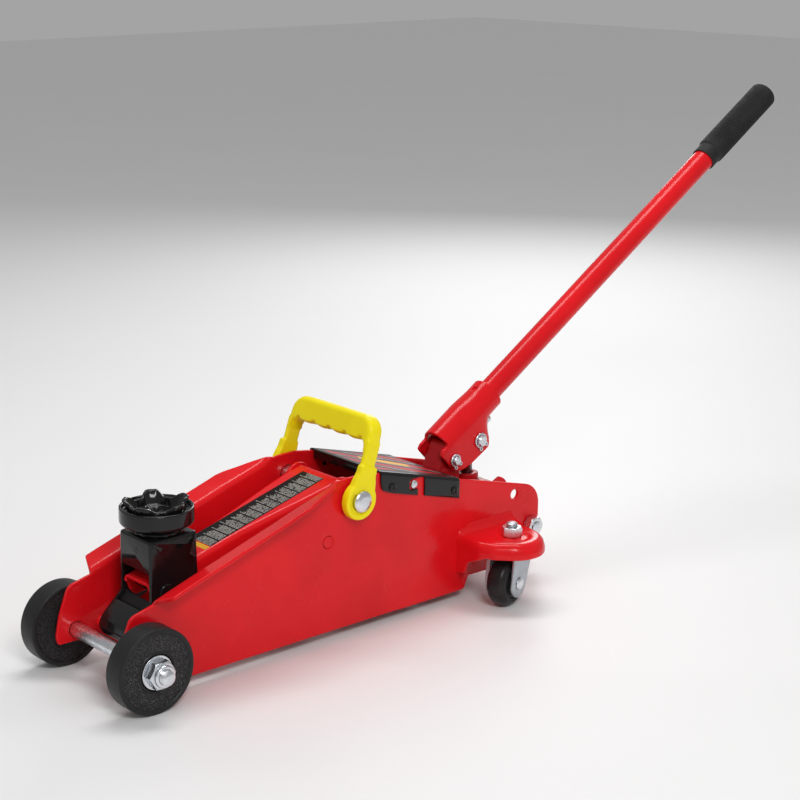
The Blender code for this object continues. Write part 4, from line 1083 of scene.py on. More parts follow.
def make_arm_label():
    """A printed film on the arm's top, with a coloured strip at its front end."""
    lift = 0.12
    for name, start, end, low, high, material in (
            ("arm_label", 91.0, 207.0, -13.6, 13.6, "label"),
            ("arm_label_strip", 85.5, 90.2, -13.6, 3.0, "strip")):
        rings = []
        steps = 30
        for i in range(steps + 1):
            x = start + (end - start) * i / steps
            z = between(ARM_TOP, x)
            rings.append([(x, low, z + 0.02), (x, low, z + lift), (x, high, z + lift),
                          (x, high, z + 0.02)])
        attach(name, loft(rings), material, "lift_arm")


# ---------------------------------------------------------------- saddle and bracket
LUGS = 5
FIRST_LUG = math.radians(64)


def make_saddle():
    """A deep cup with a wavy cast ring inside its rim."""
    base = BRACKET_HIGH.z + 0.3
    wall = SADDLE_R
    corners = [(8.9, 110.6), (8.9, base), (15.0, base), (24.6, base + 1.2),
               (wall - 0.6, base + 3.6), (wall, base + 5.0), (wall, RIM_TOP), (wall - 2.2, RIM_TOP),
               (wall - 2.8, 131.4), (wall - 6.8, 131.0), (wall - 7.8, RIM_TOP + 0.9),
               (wall - 10.8, RIM_TOP + 0.7), (wall - 12.2, 129.4), (4.0, 128.6), (0.4, 128.6)]
    radii = [0, 0, 0.6, 3, 1.5, 2, 1.2, 1.0, 0.8, 0.8, 1.2, 1.2, 1.2, 2, 0]
    profile = fillet(corners, radii, 5, closed=False)

    def castellated(radius, height, angle):
        lug = smoothstep(-0.75, 0.85, math.cos(LUGS * (angle - FIRST_LUG)))
        if wall - 12.4 < radius < wall - 7.0 and height > 129.0:
            radius += 4.9 * lug * smoothstep(128.9, 132.0, height)
            height += (LUG_TOP - RIM_TOP - 1.2) * lug * smoothstep(131.5, 135.0, height)
        if height > 128 and radius < wall - 2.0:
            seed = Vector((math.cos(angle) * 4, math.sin(angle) * 4, height / 2))
            height += 0.35 * noise.noise(seed)
            radius += 0.5 * noise.noise(seed * 1.7 + Vector((9, 3, 1)))
        return radius, min(height, LUG_TOP)

    data = turned(profile, (SADDLE_X, 0, 0), Z_AXIS, 200, shape=castellated)
    stand_in("saddle", data, "black", angle=60)


def weld_bead(name, node, centre, ring_r, bead_r, material, lumps):
    """An uneven weld bead round an upright collar."""
    rings = []
    count = 120
    for i in range(count):
        angle = 2 * math.pi * i / count
        size = bead_r * (1 + 0.22 * math.sin(lumps * angle) + 0.25 * noise.noise(
            Vector((math.cos(angle) * 3, math.sin(angle) * 3, 0))))
        out = Vector((math.cos(angle), math.sin(angle), 0))
        rings.append([Vector(centre) + out * (ring_r + size * math.cos(a))
                      + Z_AXIS * size * math.sin(a)
                      for a in (2 * math.pi * k / 10 for k in range(10))])
    attach(name, loft(rings, loop=True), material, node, angle=80)


def make_bracket():
    """A folded box channel with a window in front and a foot between two cheeks."""
    top = BRACKET_HIGH.z - 3.5
    half = BRACKET_HIGH.y
    wall = 2.8
    front = 28.9
    corners = [(73.2, top), (73.2, 79.0), (62.0, 62.0), (40.0, 54.0), (26.0, 38.0), (20.0, 33.5),
               (11.0, 33.5), (8.0, 41.0), (10.0, 48.0), (front, 66.0), (front, top)]
    radii = [2.0, 3.0, 6.0, 8.0, 6.0, 4.0, 3.0, 3.0, 6.0, 6.0, 3.0]
    edges = [3.0] + [0.5] * 9 + [3.2]
    steps = 4
    outline = fillet(corners, radii, steps)
    spread = [edge for edge in edges for _ in range(steps + 1)]
    body = slab(outline, -half, half, spread, steps=5)
    bracket = place_mesh("saddle_bracket_fine", body, ["black"])
    inner = half - wall
    hollow = [(front + wall + 0.9, top - wall), (front + wall, 66.6), (13.0, 47.0), (13.0, 20.0),
              (90.0, 20.0), (90.0, top - wall)]
    window = [(-inner + 0.2, 60.0), (inner - 0.2, 60.0), (inner - 0.2, 88.5), (-inner + 0.2, 88.5)]
    window = fillet(window, [0, 0, 1.5, 1.5], 4)
    carve(bracket, [slab(hollow, -inner, inner, 0.8),
                    slab(window, front - 6, 45.0, 0.01, axis="X")])
    round_edges(bracket, 0.45, 2, 50)
    adopt(bracket, "saddle_bracket", angle=40)
    apron = slab(fillet([(13.4, 46.0), (31.6, 65.2), (33.6, 63.2), (15.4, 44.0)], 0.5, 2),
                 -inner + 0.1, inner - 0.1, 0.3)
    attach("saddle_bracket_apron", apron, "black_satin", "saddle_bracket")
    corners = [(9.2, top - 2.0), (15.0, top - 2.0), (15.0, top + 3.4), (9.2, top + 3.4)]
    collar = lathe(corners, [0, 0, 0.8, 0.3], (SADDLE_X, 0, 0), Z_AXIS, 64, closed=True)
    attach("saddle_bracket_collar", collar, "black", "saddle_bracket")
    weld_bead("saddle_bracket_weld", "saddle_bracket", (SADDLE_X, 0, top + 0.5), 16.2, 2.4,
              "black", 13)
    punch = turned([(2.2, 0.0), (1.8, 0.25), (1.0, -0.35), (0.2, -0.5)],
                   (front - 0.02, -2.0, 104.0), (-1, 0, 0), 24)
    attach("saddle_bracket_punch", punch, "black", "saddle_bracket")


def headed_pin(node, point, radius, head, half, head_t, material, dome=0.0, heads=None):
    """A pin across the middle plane with a rounded head at each end."""
    side = [(0.3, -half - head_t - dome), (head * 0.55, -half - head_t - dome * 0.75),
            (head * 0.9, -half - head_t * 0.85), (head, -half - head_t * 0.4), (head, -half),
            (radius, -half)]
    side = fillet(side, [0, head * 0.6, 0.8, 0.4, 0.2, 0], 4, closed=False)
    profile = mirrored(side)
    bands = [1 if abs(y) > half - 0.05 else 0 for _, y in profile]
    data = turned(profile, on_axis(point), Y_AXIS, 56, bands=bands)
    stand_in(node, data, material, heads or material)


def make_linkage_pins():
    """The bracket's two pins and the arm's shaft; the foot pin completes the parallelogram."""
    foot = tuple(s + r - a for s, r, a in zip(SADDLE_PIVOT, ROD_PIVOT, ARM_PIVOT))
    half = BRACKET_HIGH.y + 0.3
    headed_pin("saddle_pin", SADDLE_PIVOT, 5.0, 6.4, half, 1.6, "steel", 0.3, "black")
    headed_pin("foot_pin", foot, 4.0, 5.9, half + 3.6, 1.6, "black", 0.3)
    headed_pin("arm_shaft", ARM_PIVOT, 8.0, 8.9, 54.4, 2.2, "zinc", 1.2)


# ---------------------------------------------------------------- wheels behind: casters
def caster_frame(side):
    """A caster's rolling direction, its axle direction and its stud's foot."""
    turn = math.radians(15.0) * side
    roll = Vector((-math.cos(turn), math.sin(turn), 0))
    across = Vector((math.sin(turn), math.cos(turn), 0)) * side
    return roll, across, Vector((STUD[0], side * STUD[1], 0))


CASTER_R = 21.5
CASTER_TRAIL = 8.0
FORK_IN = 10.8
FORK_OUT = 13.3
FORK_LEG_R = 12.3


def fork_leg(centre, roll, across, low, high):
    """One leg: straight down from the crown and round below the axle."""
    outline = [(-14.0, 52.0), (-13.2, 44.0)]
    outline += arc((CASTER_TRAIL, CASTER_R), FORK_LEG_R, 188, 352, 19)
    outline += [(16.6, 44.0), (14.4, 52.0)]
    rings = []
    edge = 0.5
    for level, shrink in ((low, edge), (low + 0.15, 0.15), (low + edge, 0.0), (high - edge, 0.0),
                          (high - 0.15, 0.15), (high, edge)):
        rings.append([centre + roll * s + across * level + Z_AXIS * z
                      for s, z in inset(outline, shrink)])
    return loft(rings)


def fork_bend(centre, roll, across, sign):
    """The rounded shoulder between a leg and the crown."""
    rings = []
    for step in range(9):
        s = -14.0 + 28.4 * step / 8
        ring = [(FORK_IN, 50.0), (FORK_OUT, 50.0)]
        ring += [(FORK_OUT - 3.5 + 3.5 * math.cos(a), 50.0 + 3.5 * math.sin(a))
                 for a in (math.pi / 2 * k / 5 for k in range(1, 6))]
        ring += [(6.0, 53.5), (6.0, 51.0), (FORK_IN - 1.3, 51.0), (FORK_IN, 50.4)]
        rings.append([centre + roll * s + across * sign * a + Z_AXIS * z for a, z in ring])
    return loft(rings)


def make_caster(name, side):
    """The fork with its stud, the barrel-shaped wheel, the axle rivet and the stud's nut."""
    roll, across, centre = caster_frame(side)
    crown = [(18.6, 49.6), (18.6, 52.6), (15.0, 53.2), (10.0, 56.4), (5.0, 56.5), (5.0, 58.5)]
    crown = fillet(crown, [0.6, 1.0, 2.0, 1.0, 0, 0], 4, closed=False)
    stud = thread(4.9, 59.0, 71.0, *FINE_THREAD)
    profile = crown + stud + [(3.9, 71.8), (0.4, 72.0)]
    parts = [turned([(0.4, 49.6)] + profile, centre, Z_AXIS, 56)]
    for sign in (-1, 1):
        parts.append(fork_leg(centre, roll, across, sign * FORK_IN, sign * FORK_OUT))
        parts.append(fork_bend(centre, roll, across, sign))
    stand_in("caster_fork_" + name, merged(*parts), "zinc_flat")
    hub = centre + roll * CASTER_TRAIL + Z_AXIS * CASTER_R
    corners = [(3.8, -10.0), (8.0, -10.0), (8.0, -7.4), (13.5, -7.4), (14.5, -8.9), (17.6, -8.9),
               (21.2, -5.4), (21.5, 0.0)]
    radii = [0, 0.5, 0.5, 0.5, 0.5, 2.2, 5.0, 8.0]
    half = fillet(corners, radii, 6, closed=False)[:-1]
    profile = half + [(CASTER_R, 0.0)] + [(r, -y) for r, y in reversed(half)]
    bands = [1 if r > 17.2 else 0 for r, _ in profile]
    wheel = turned(profile, hub, across, 96, closed=True, bands=bands)
    stand_in("caster_wheel_" + name, wheel, "tread", "caster_tread")
    face = -FORK_OUT - 0.3
    side_view = [(0.3, face - 2.0), (3.0, face - 1.7), (5.0, face - 1.0), (5.6, face - 0.3),
                 (5.6, face), (3.5, face)]
    axle = mirrored(fillet(side_view, [0, 1.5, 1.0, 0.3, 0.2, 0], 4, closed=False))
    stand_in("caster_axle_" + name, turned(axle, hub, across, 48), "zinc")
    nut = hex_nut(centre, Z_AXIS, 16, 5.1, 60.3, 68.3)
    stand_in("caster_nut_" + name, nut, "zinc")


# ---------------------------------------------------------------- carrying handle
def carry_point(y, r, offset):
    """A point r along the handle's arms and offset across them, towards the front."""
    radial = (math.cos(CARRY_LEAN), math.sin(CARRY_LEAN))
    return (ARM_PIVOT[0] + radial[0] * r - radial[1] * offset, y,
            ARM_PIVOT[1] + radial[1] * r + radial[0] * offset)


def carry_slab(outline, low, high, edge, plane):
    """A rounded slab in the handle's own plane (y, r) or across it (offset, r)."""
    data = slab(outline, low, high, edge, axis="Z", steps=4)
    for vertex in data.verts:
        a, b, c = vertex.co
        vertex.co = carry_point(a, b, c) if plane == "face" else carry_point(c, b, a)
    return data


def make_carry_handle():
    """Two hubs with stepped arms and a bar with finger hollows."""
    inner_y = 46.4
    hub_r = 16.0
    parts = []
    for side in (-1, 1):
        hub = [(8.2, inner_y), (hub_r, inner_y), (hub_r, 53.9), (12.2, 53.9), (11.4, 52.4),
               (8.2, 52.4)]
        parts.append(lathe(hub, [0, 0.6, 1.8, 0.6, 0.6, 0], on_axis(ARM_PIVOT), (0, side, 0), 72,
                           closed=True))
        lower = [(-13.6, 4.0), (-10.6, 17.0), (-8.9, 21.5), (-8.5, 28.5), (8.5, 28.5), (8.9, 21.5),
                 (10.6, 17.0), (13.6, 4.0)]
        parts.append(carry_slab(fillet(lower, 1.2, 3), *span(side, inner_y, 53.6), 1.5, "side"))
        upper = [(-7.2, 22.0), (-7.2, 49.0), (7.2, 49.0), (7.2, 22.0)]
        parts.append(carry_slab(upper, *span(side, inner_y, 51.4), 2.2, "side"))
    outer = [(51.2, 38.0), (50.4, 68.5), (-50.4, 68.5), (-51.2, 38.0)]
    fingers = [(-46.6, 38.0), (-44.6, 44.6), (-41.0, 48.2)]
    reach = 39.0
    for i in range(61):
        y = -reach + 2 * reach * i / 60
        hollow = abs(math.sin(4 * math.pi * i / 60)) ** 0.8 if 0 < i < 60 else 0.0
        fingers.append((y, 49.4 - 2.6 * hollow))
    fingers += [(41.0, 48.2), (44.6, 44.6), (46.6, 38.0)]
    grip = fillet(outer, [1, 17, 17, 1], 8) + fingers
    parts.append(carry_slab(grip, -7.4, 7.4, 4.2, "face"))
    handle = place_mesh("carry_handle_fine", merged(*parts), ["yellow"])
    fuse(handle, 0.75, 5)
    adopt(handle, "carry_handle", angle=180)


# ---------------------------------------------------------------- cover
def cover_top(x):
    """Height of the plates' rear top edge, which the cover rests on."""
    slope = (106.0 - 132.4) / (344.8 - 244.4)
    return 132.4 + slope * (x - 244.4)


def make_cover():
    """A folded sheet on the plates with an open hook slot in each flange."""
    half = PLATE_Y + 0.3 + 0.75
    start, end = COVER_LOW.x, COVER_HIGH.x
    rings = []
    steps = 30
    bend = 2.4
    for i in range(steps + 1):
        x = start + (end - start) * i / steps
        top = cover_top(x) + 0.3 + 0.75
        low = top - 17.2
        curl = 1.6 * (1 - smoothstep(0.0, 5.0, x - start))
        curl += 1.2 * (1 - smoothstep(0.0, 5.0, end - x))
        left = [(-half, low + (top - bend - low) * k / 6) for k in range(6)]
        left += arc((-half + bend, top - bend), bend, 180, 90, 6)
        flat = [(-half + bend + (half - bend) * k / 8, top - curl * 0.35) for k in range(1, 8)]
        left += flat
        section = left + [(0.0, top - curl * 0.35)] + [(-y, z) for y, z in reversed(left)]
        rings.append([(x, y, z) for y, z in section])
    data = loft(rings, closed_ring=False, caps=False)
    cover = place_mesh("cover_plate_fine", data, ["black", "cover_print"])
    thicken(cover, 1.5)
    hook = [(273.0, 121.6), (273.0, 112.2), (282.5, 112.2), (282.5, 96), (290.2, 96),
            (290.2, 121.0), (284.0, 121.6)]
    hook = fillet(hook, [3, 2.5, 1.0, 0, 0, 2, 2], 4)
    corner = [(start - 4, 100.0), (start - 4, 127.0), (start, 125.0), (start + 1.6, 118.4),
              (start + 9.5, 114.9), (start + 13.0, 114.2), (start + 13.0, 100.0)]
    corner = fillet(corner, [0, 0, 3, 5, 3, 0, 0], 5)
    rear = [(end + 4, 84.0), (end + 4, 91.0), (end - 1.6, 88.6), (end - 5.0, 84.0)]
    carve(cover, [slab(outline, *span(side, 40.0, 60.0), 0.01)
                  for side in (-1, 1) for outline in (hook, corner, rear)])
    round_edges(cover, 0.35, 2, 55)
    high = cover_top(start) + 0.9
    low = high - 7.8
    lip = [(start + 0.1, low), (start + 1.6, low), (start + 1.6, high), (start + 0.1, high)]
    attach("cover_plate_lip", slab(fillet(lip, 0.5, 3), -40.3, 40.3, 0.5), "black", "cover_plate")
    for face in cover.data.polygons:
        centre_y = abs(face.center.y) / MM
        face.material_index = 1 if face.normal.z > 0.8 and centre_y < 42.5 else 0
    adopt(cover, "cover_plate", angle=40)


def make_cover_fasteners():
    """Two screws and one hook pin through each flange of the cover."""
    outer = PLATE_Y + 1.8
    for name, side in SIDES:
        for place in ("front", "rear"):
            node = "cover_screw_" + place + "_" + name
            centre = on_axis(middle_mm(node)[::2])
            corners = [(2.0, PLATE_Y - 4), (2.0, outer), (3.7, outer), (3.4, outer + 1.0),
                       (1.6, outer + 1.7), (1.4, outer + 0.7), (0.3, outer + 0.6)]
            radii = [0, 0, 0.3, 0.8, 0.4, 0.2, 0]
            stand_in(node, lathe(corners, radii, centre, (0, side, 0), 40, 3), "black")
        node = "cover_hook_pin_" + name
        centre = on_axis(middle_mm(node)[::2])
        corners = [(3.0, PLATE_Y - 3), (3.0, outer), (3.6, outer + 0.2), (3.4, outer + 1.0),
                   (2.0, outer + 1.8), (0.3, outer + 2.0)]
        radii = [0, 0, 0.2, 0.6, 0.8, 0]
        stand_in(node, lathe(corners, radii, centre, (0, side, 0), 40, 3), "zinc")


# ---------------------------------------------------------------- pump handle
def handle_point(s, t, y=0.0):
    """A point s along the handle's axis and t below it."""
    return (HANDLE_O[0] + s * HANDLE_U[0] + t * HANDLE_U[1], y,
            HANDLE_O[1] + s * HANDLE_U[1] - t * HANDLE_U[0])


SOCKET_T = 3.3
SOCKET_MID = 16.1 - SOCKET_T / 2


def socket_section(s):
    """(y, t) points of the socket's middle surface: a channel that closes round the tube."""
    close = smoothstep(36.0, 56.0, s)
    waist = 1.0 - 0.10 * smoothstep(36.0, 62.0, s)
    points = []
    half_arch = 14
    for i in range(half_arch + 1):
        angle = math.pi / 2 * (1 - i / half_arch)
        points.append((SOCKET_MID * waist * math.sin(angle), -SOCKET_MID * waist * math.cos(angle)))
    points.reverse()
    legs = []
    steps = 12
    for i in range(1, steps + 1):
        share = i / steps
        straight = (SOCKET_MID * waist, 33.0 * share)
        angle = math.pi / 2 + share * math.radians(78)
        curled = (SOCKET_MID * waist * math.sin(angle), -SOCKET_MID * waist * math.cos(angle))
        legs.append((straight[0] + (curled[0] - straight[0]) * close,
                     straight[1] + (curled[1] - straight[1]) * close))
    bow = [p for p in sorted(points, key=lambda p: p[1]) if p[0] > 1e-6]
    half = [(0.0, -SOCKET_MID * waist)] + bow + legs
    return [(-y, t) for y, t in reversed(half[1:])] + half


def make_handle_socket():
    """The bent socket with its sleeve for the tube, the set screw's boss and the pin holes."""
    rings = []
    for i in range(46):
        s = -12.0 + 84.6 * i / 45
        rings.append([handle_point(s, t, y) for y, t in socket_section(s)])
    data = loft(rings, closed_ring=False, caps=False)
    socket = place_mesh("handle_socket_fine", data, ["red"])
    thicken(socket, SOCKET_T)
    side_view = [(-9.6, -2), (-5.6, 19), (2, 25), (10.8, 28), (37, 29.5), (42.5, 26), (46.5, 18.6),
                 (70, 18.6), (72, 14), (72, -18), (2, -18), (2, -5), (-6, -5)]
    radii = [1.5, 6, 5, 8, 9, 9, 3, 2, 4, 0, 0, 1.5, 2]
    outline = fillet(side_view, radii, 5)
    outline = [(handle_point(s, t)[0], handle_point(s, t)[2]) for s, t in outline]
    carve(socket, [slab(outline, -18.0, 18.0, 0.01)], "INTERSECT")
    holes = []
    for point, radius in ((FULCRUM, 4.2), (PLUNGER_PIN, 5.2)):
        holes.append(turned([(radius, -30), (radius, 30)], on_axis(point), Y_AXIS, 40))
    sight = turned([(2.5, 6), (2.5, 25)], handle_point(61, 0), -HANDLE_DOWN, 32)
    carve(socket, holes + [sight])
    round_edges(socket, 0.6, 3, 45)
    adopt(socket, "handle_socket", angle=40)
    screw = handle_point(57, 0)
    boss = [(3.2, 12.2), (5.6, 12.2), (5.2, 16.4), (3.2, 16.4)]
    boss = lathe(boss, [0, 0, 0.6, 0], screw, HANDLE_DOWN, closed=True)
    attach("handle_socket_boss", boss, "red", "handle_socket")
    sleeve = [(10.5, 50.0), (13.6, 50.0), (13.6, 71.6), (12.8, 72.0), (10.5, 72.0)]
    sleeve = lathe(sleeve, [0, 0, 0.5, 0.3, 0.3], on_axis(HANDLE_O), HANDLE_AXIS, 72, 3,
                   closed=True)
    attach("handle_socket_sleeve", sleeve, "red", "handle_socket")
    nut = hex_nut(screw, HANDLE_DOWN, 10, 0.3, 16.9, 20.0)
    stand_in("socket_set_screw", nut, "zinc")


def make_socket_pins():
    """The fulcrum and plunger pins, each with a head, a groove and a spring clip."""
    for name, point, radius in (("fulcrum_pin", FULCRUM, 4.0), ("plunger_pin", PLUNGER_PIN, 5.0)):
        groove = 18.0
        corners = [(0.3, -20.5), (radius - 1.0, -20.5), (radius, -19.7), (radius, -groove - 0.3),
                   (radius - 0.7, -groove - 0.2), (radius - 0.7, -groove + 1.2),
                   (radius, -groove + 1.3), (radius, 16.4), (radius + 2, 16.4), (radius + 2, 18.0),
                   (radius + 1.2, 18.6), (0.3, 18.6)]
        radii = [0, 0, 0.5, 0, 0, 0, 0, 0, 0.2, 0.6, 0, 0]
        stand_in(name, lathe(corners, radii, on_axis(point), Y_AXIS, steps=3), "zinc")
        make_clip(name.replace("pin", "clip"), point, radius)


def make_clip(node, point, radius):
    """A spring clip: an open ring with a rolled eye at each end."""
    y = -17.1
    ring = radius + 1.1
    path = []
    for i in range(33):
        angle = math.radians(-62 + 304 * i / 32 + 30)
        path.append((point[0] + ring * math.cos(angle), y, point[1] + ring * math.sin(angle)))
    parts = [swept(path, 0.95)]
    for index in (0, -1):
        eye = Vector(path[index])
        out = (eye - Vector((point[0], y, point[1]))).normalized()
        centre = eye + out * 1.5
        lug = [(0.8, -0.9), (2.0, -0.9), (2.0, 0.9), (0.8, 0.9)]
        parts.append(lathe(lug, 0.4, centre, Y_AXIS, 28, 3, closed=True))
    stand_in(node, merged(*parts), "zinc", angle=60)


def make_handle_tube():
    """The plain tube, and the ribbed grip pushed over its end."""
    start, end = 48.0, 511.0
    outer, wall = 10.2, 1.8
    centre = on_axis(HANDLE_O)
    profile = [(outer - wall, start)]
    profile += [(outer, start + (end - start) * i / 12) for i in range(13)]
    profile += [(outer - wall, end)]
    stand_in("handle_tube", turned(profile, centre, HANDLE_AXIS, 72, closed=True), "red")
    corners = [(10.5, 410.0), (11.6, 410.0), (11.6, 421.4), (13.0, 423.0), (13.0, 514.0),
               (11.6, 516.0), (3.0, 516.0), (2.4, 515.0), (1.0, 515.0), (1.0, 511.5), (10.5, 511.5)]
    radii = [0.3, 0.8, 1.0, 1.2, 1.6, 1.6, 0.5, 0.3, 0, 0, 0]
    profile = fillet(corners, radii, 4)
    ribs = 44

    def ribbed(radius, height, angle):
        if radius > 12.2 and 422.4 < height < 514.5:
            fade = smoothstep(422.4, 424.5, height) * (1 - smoothstep(512.0, 514.5, height))
            wave = 0.5 + 0.5 * math.cos(ribs * angle)
            radius -= 0.75 * fade * (1 - wave) ** 1.5
        return radius, height

    profile = dense_loop(profile, 6.0)
    grip = turned(profile, centre, HANDLE_AXIS, ribs * 8, closed=True, shape=ribbed)
    stand_in("handle_grip", grip, "rubber", angle=70)


# ---------------------------------------------------------------- hydraulic unit
WELD_DISTANCE = 0.00002


def make_fulcrum_bracket():
    """A folded upright with a rounded top corner and two flanges."""
    view = [(336, 88.3), (336, 101), (345.5, 125), (350, 131), (357, 131), (363.5, 123), (366, 112),
            (366, 88.3)]
    outline = fillet(view, [0, 8, 5, 4, 5, 6, 4, 0], 5)
    spread = [0.5] + [2.6] * 18 + [0.5] * 19
    body = slab(outline, -10.0, 10.0, spread, steps=4)
    # The darker red here is painted shade for this bracket inside the frame.
    bracket = place_mesh("fulcrum_bracket_fine", body, ["cast_red_painted_shade"])
    hollow = [(339.2, 70), (339.2, 100.5), (349.0, 124), (353, 140), (380, 140), (380, 70)]
    bore = turned([(4.3, -30), (4.3, 30)], on_axis(FULCRUM), Y_AXIS, 40)
    carve(bracket, [slab(hollow, -7.0, 7.0, 0.4), bore])
    round_edges(bracket, 0.5, 2, 50)
    adopt(bracket, "fulcrum_bracket", angle=40)


def make_plunger():
    """A round plunger whose flat eye has a slot for the plunger pin."""
    low, high = box_mm("pump_plunger")
    x, pin_z = PLUNGER_PIN
    shaft = [(0.3, low.z), (4.2, low.z), (5.0, low.z + 1), (5.0, 119.0), (0.3, 119.0)]
    shaft = lathe(shaft, [0, 0.5, 0.4, 0, 0], (x, 0, 0), Z_AXIS, steps=3)
    eye = fillet([(low.x, 118.0), (high.x, 118.0), (high.x, high.z), (low.x, high.z)], 3.0, 5)
    plunger = place_mesh("pump_plunger_fine", slab(eye, -5.0, 5.0, 0.7), ["dark_steel"])
    slot = fillet([(x - 12.3, pin_z - 6.5), (x + 7.9, pin_z - 6.5), (x + 7.9, pin_z + 5.4),
                   (x - 12.3, pin_z + 5.4)], 4.0, 6)
    carve(plunger, [slab(slot, -9.0, 9.0, 0.01)])
    carve(plunger, [shaft], "UNION")
    adopt(plunger, "pump_plunger")


def make_cast(node, material, voxel, repeat):
    """A casting: the CAD body with every edge and corner melted round."""
    source = frame["nodes"][node]
    item = bpy.data.objects.new(node + "_fine", source.data.copy())
    bpy.context.scene.collection.objects.link(item)
    item.data.materials.clear()
    item.data.materials.append(PAINT[material])
    weld = item.modifiers.new("weld", "WELD")
    weld.merge_threshold = WELD_DISTANCE
    fuse(item, voxel, repeat)
    adopt(item, node, angle=180)


def make_valve_and_plug():
    """The release valve with a slotted end, and the oil filler plug."""
    axis = Vector((math.cos(VALVE_TILT), 0, math.sin(VALVE_TILT)))
    length = 21.4
    knob = [(4.5, 0.5), (4.5, 8.0), (6.5, 8.0), (6.5, 20.0), (5.0, length), (0.3, length)]
    knob = lathe(knob, [0, 0, 0.8, 1.2, 0.8, 0], VALVE_POINT, axis, 56)
    valve = place_mesh("release_valve_fine", knob, ["red"])
    tip = VALVE_POINT + axis * length
    notch = [(-2.0, -12.0), (2.0, -12.0), (2.0, 12.0), (-2.0, 12.0)]
    notch = slab(notch, -4.0, 4.0, 0.01, axis="X")
    turn = Vector((1, 0, 0)).rotation_difference(axis).to_matrix().to_4x4()
    quarter = Matrix.Rotation(math.pi / 2, 4, "X")
    notch.transform(Matrix.Translation(tip) @ turn @ quarter)
    carve(valve, [notch])
    round_edges(valve, 0.35, 2, 50)
    adopt(valve, "release_valve")
    low, high = box_mm("oil_filler_plug")
    x, y = middle_mm("oil_filler_plug")[:2]
    plug = [(2.5, low.z), (2.5, high.z - 2.7), (4.0, high.z - 2.7), (3.8, high.z), (1.2, high.z),
            (1.0, high.z - 0.8), (0.2, high.z - 0.8)]
    plug = lathe(plug, [0, 0, 0.3, 0.8, 0.2, 0, 0], (x, y, 0), Z_AXIS, 40, 3)
    stand_in("oil_filler_plug", plug, "rubber")


def make_springs():
    """Close coils between the crosshead pin and the anchor."""
    x, _ = CRANK_PIN
    axis_z = 78.0
    start, end = 249.0, 300.0
    turns, per_turn, size = 16, 16, 3.2
    for name, side in SIDES:
        y = side * 21.5
        points = [(a, y, b) for a, b in arc(CRANK_PIN, 7.2, 240, 0, 16)]
        points.append((start - 2, y, axis_z + size))
        count = turns * per_turn
        for i in range(count + 1):
            angle = 2 * math.pi * i / per_turn
            points.append((start + (end - start) * i / count, y + size * math.sin(angle),
                           axis_z + size * math.cos(angle)))
        points += [(end + 3, y, axis_z), (315.0, y, axis_z)]
        node = "return_spring_" + name
        spring = place_mesh(node + "_fine", swept(points, 0.8, 8), ["steel"])
        shade(spring, 70)
        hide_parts(node)
        reach = Vector((AXLE_X, 0, 0))
        reach + Vector((x + 4.0, y, axis_z)) * MM
        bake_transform(spring)


def make_inner_parts():
    """Hidden steel pieces keep their CAD shape and get real finishes and softer edges."""
    finishes = {"crosshead_pin": "steel", "crosshead_roller": "steel", "ram": "steel",
                "ram_cylinder": "zinc_flat", "cylinder_gland": "steel",
                "spring_anchor": "dark_steel", "rod_pivot_left": "red", "rod_pivot_right": "red",
                "radius_rod_left": "red", "radius_rod_right": "red"}
    for node, material in finishes.items():
        item = frame["nodes"][node]
        item.data.materials.clear()
        item.data.materials.append(PAINT[material])
        for face in item.data.polygons:
            face.material_index = 0
        weld = item.modifiers.new("weld", "WELD")
        weld.merge_threshold = WELD_DISTANCE
        flat = item.modifiers.new("flat", "DECIMATE")
        flat.decimate_type = "DISSOLVE"
        flat.angle_limit = math.radians(1.0)
        soft = item.modifiers.new("soft", "BEVEL")
        soft.width = 0.0004
        soft.segments = 2
        soft.limit_method = "ANGLE"
        soft.angle_limit = math.radians(40)
        soft.harden_normals = False


# ---------------------------------------------------------------- stage, lights and camera
def make_stage():
    """A plain pale floor under an even studio sky."""
    data = bmesh.new()
    bmesh.ops.create_grid(data, x_segments=12, y_segments=12, size=6.0)
    mesh = bpy.data.meshes.new("floor")
    data.to_mesh(mesh)
    data.free()
    floor = bpy.data.objects.new("floor", mesh)
    bpy.context.scene.collection.objects.link(floor)
    material, tree = new_material("floor_paint", Roughness=0.6)
    shade = noise_at(tree, 3.0).mix((0.90, 0.90, 0.90), (0.87, 0.87, 0.87))
    mesh.materials.append(finish(material, shade))
    world = bpy.data.worlds.new("studio")
    world.use_nodes = True
    background = world.node_tree.nodes["Background"]
    background.inputs["Color"].default_value = (1.0, 1.0, 1.0, 1.0)
    background.inputs["Strength"].default_value = 0.37
    bpy.context.scene.world = world


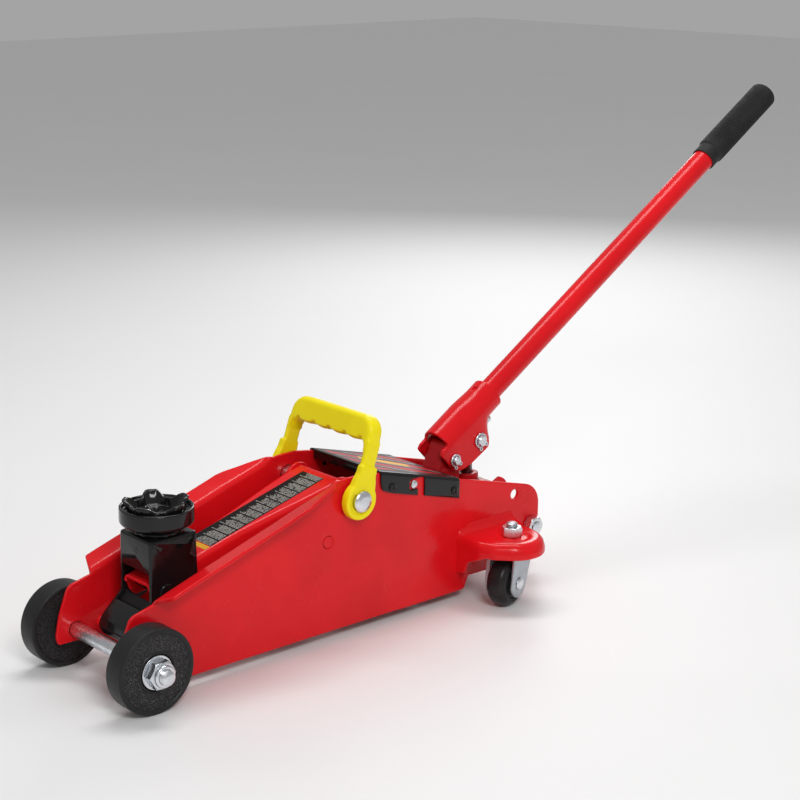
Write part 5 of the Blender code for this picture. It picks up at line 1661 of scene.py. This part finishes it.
def add_light(name, place, target, size, power):
    """A rectangular soft light that looks at the target."""
    light = bpy.data.lights.new(name, "AREA")
    light.shape = "RECTANGLE"
    light.size, light.size_y = size
    light.energy = power
    lamp = bpy.data.objects.new(name, light)
    lamp.location = place
    lamp.rotation_euler = (Vector(target) - Vector(place)).to_track_quat("-Z", "Y").to_euler()
    bpy.context.scene.collection.objects.link(lamp)


def make_lights():
    """A key light from the front corner, a strip above and a rim light from behind."""
    add_light("key", (-0.9, -1.5, 1.5), (-0.1, 0, 0.08), (0.7, 0.5), 17)
    add_light("top", (0.1, 0.25, 1.5), (-0.1, 0, 0.1), (1.1, 0.35), 9)
    add_light("rear", (1.2, 1.0, 0.9), (0, 0, 0.1), (0.5, 0.8), 7)


def make_camera():
    """The main viewpoint: low, from the front corner, with a small lens shift."""
    azimuth, elevation, roll = (math.radians(a) for a in (-40.11, 14.58, 0.144))
    level = math.cos(elevation)
    back = Vector((math.sin(azimuth) * level, -math.cos(azimuth) * level, math.sin(elevation)))
    camera = bpy.data.cameras.new("camera")
    camera.sensor_width = 36.0
    camera.lens = 82.6
    camera.shift_x = 0.1015
    camera.shift_y = -0.0226
    item = bpy.data.objects.new("camera", camera)
    aim = (-back).to_track_quat("-Z", "Y").to_matrix().to_4x4()
    spin = Matrix.Rotation(roll, 4, "Z")
    item.matrix_world = Matrix.Translation((-1.0958, -1.1050, 0.5818)) @ aim @ spin
    camera.clip_end = 50.0
    bpy.context.scene.collection.objects.link(item)
    bpy.context.scene.camera = item


def build():
    """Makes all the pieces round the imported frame."""
    PAINT["label"] = printed_label()
    PAINT["cover_print"] = cover_print()
    PAINT["strip"] = moulded("label_strip", (0.80, 0.42, 0.01), (0.66, 0.30, 0.01), 0.4, 900.0,
                             0.00002)
    make_plates()
    make_front_end()
    make_tie_rod()
    make_lift_arm()
    make_saddle()
    make_bracket()
    make_linkage_pins()
    for name, side in SIDES:
        make_caster(name, side)
    make_carry_handle()
    make_cover()
    make_cover_fasteners()
    make_handle_socket()
    make_socket_pins()
    make_handle_tube()
    make_fulcrum_bracket()
    make_plunger()
    # The power unit takes the darker red: painted shade for a part inside the frame.
    make_cast("power_unit_base", "cast_red_painted_shade", 0.9, 4)
    make_valve_and_plug()
    make_springs()
    make_inner_parts()
    make_stage()
    make_lights()
    make_camera()


build()
bpy.context.scene.view_settings.view_transform = "Standard"
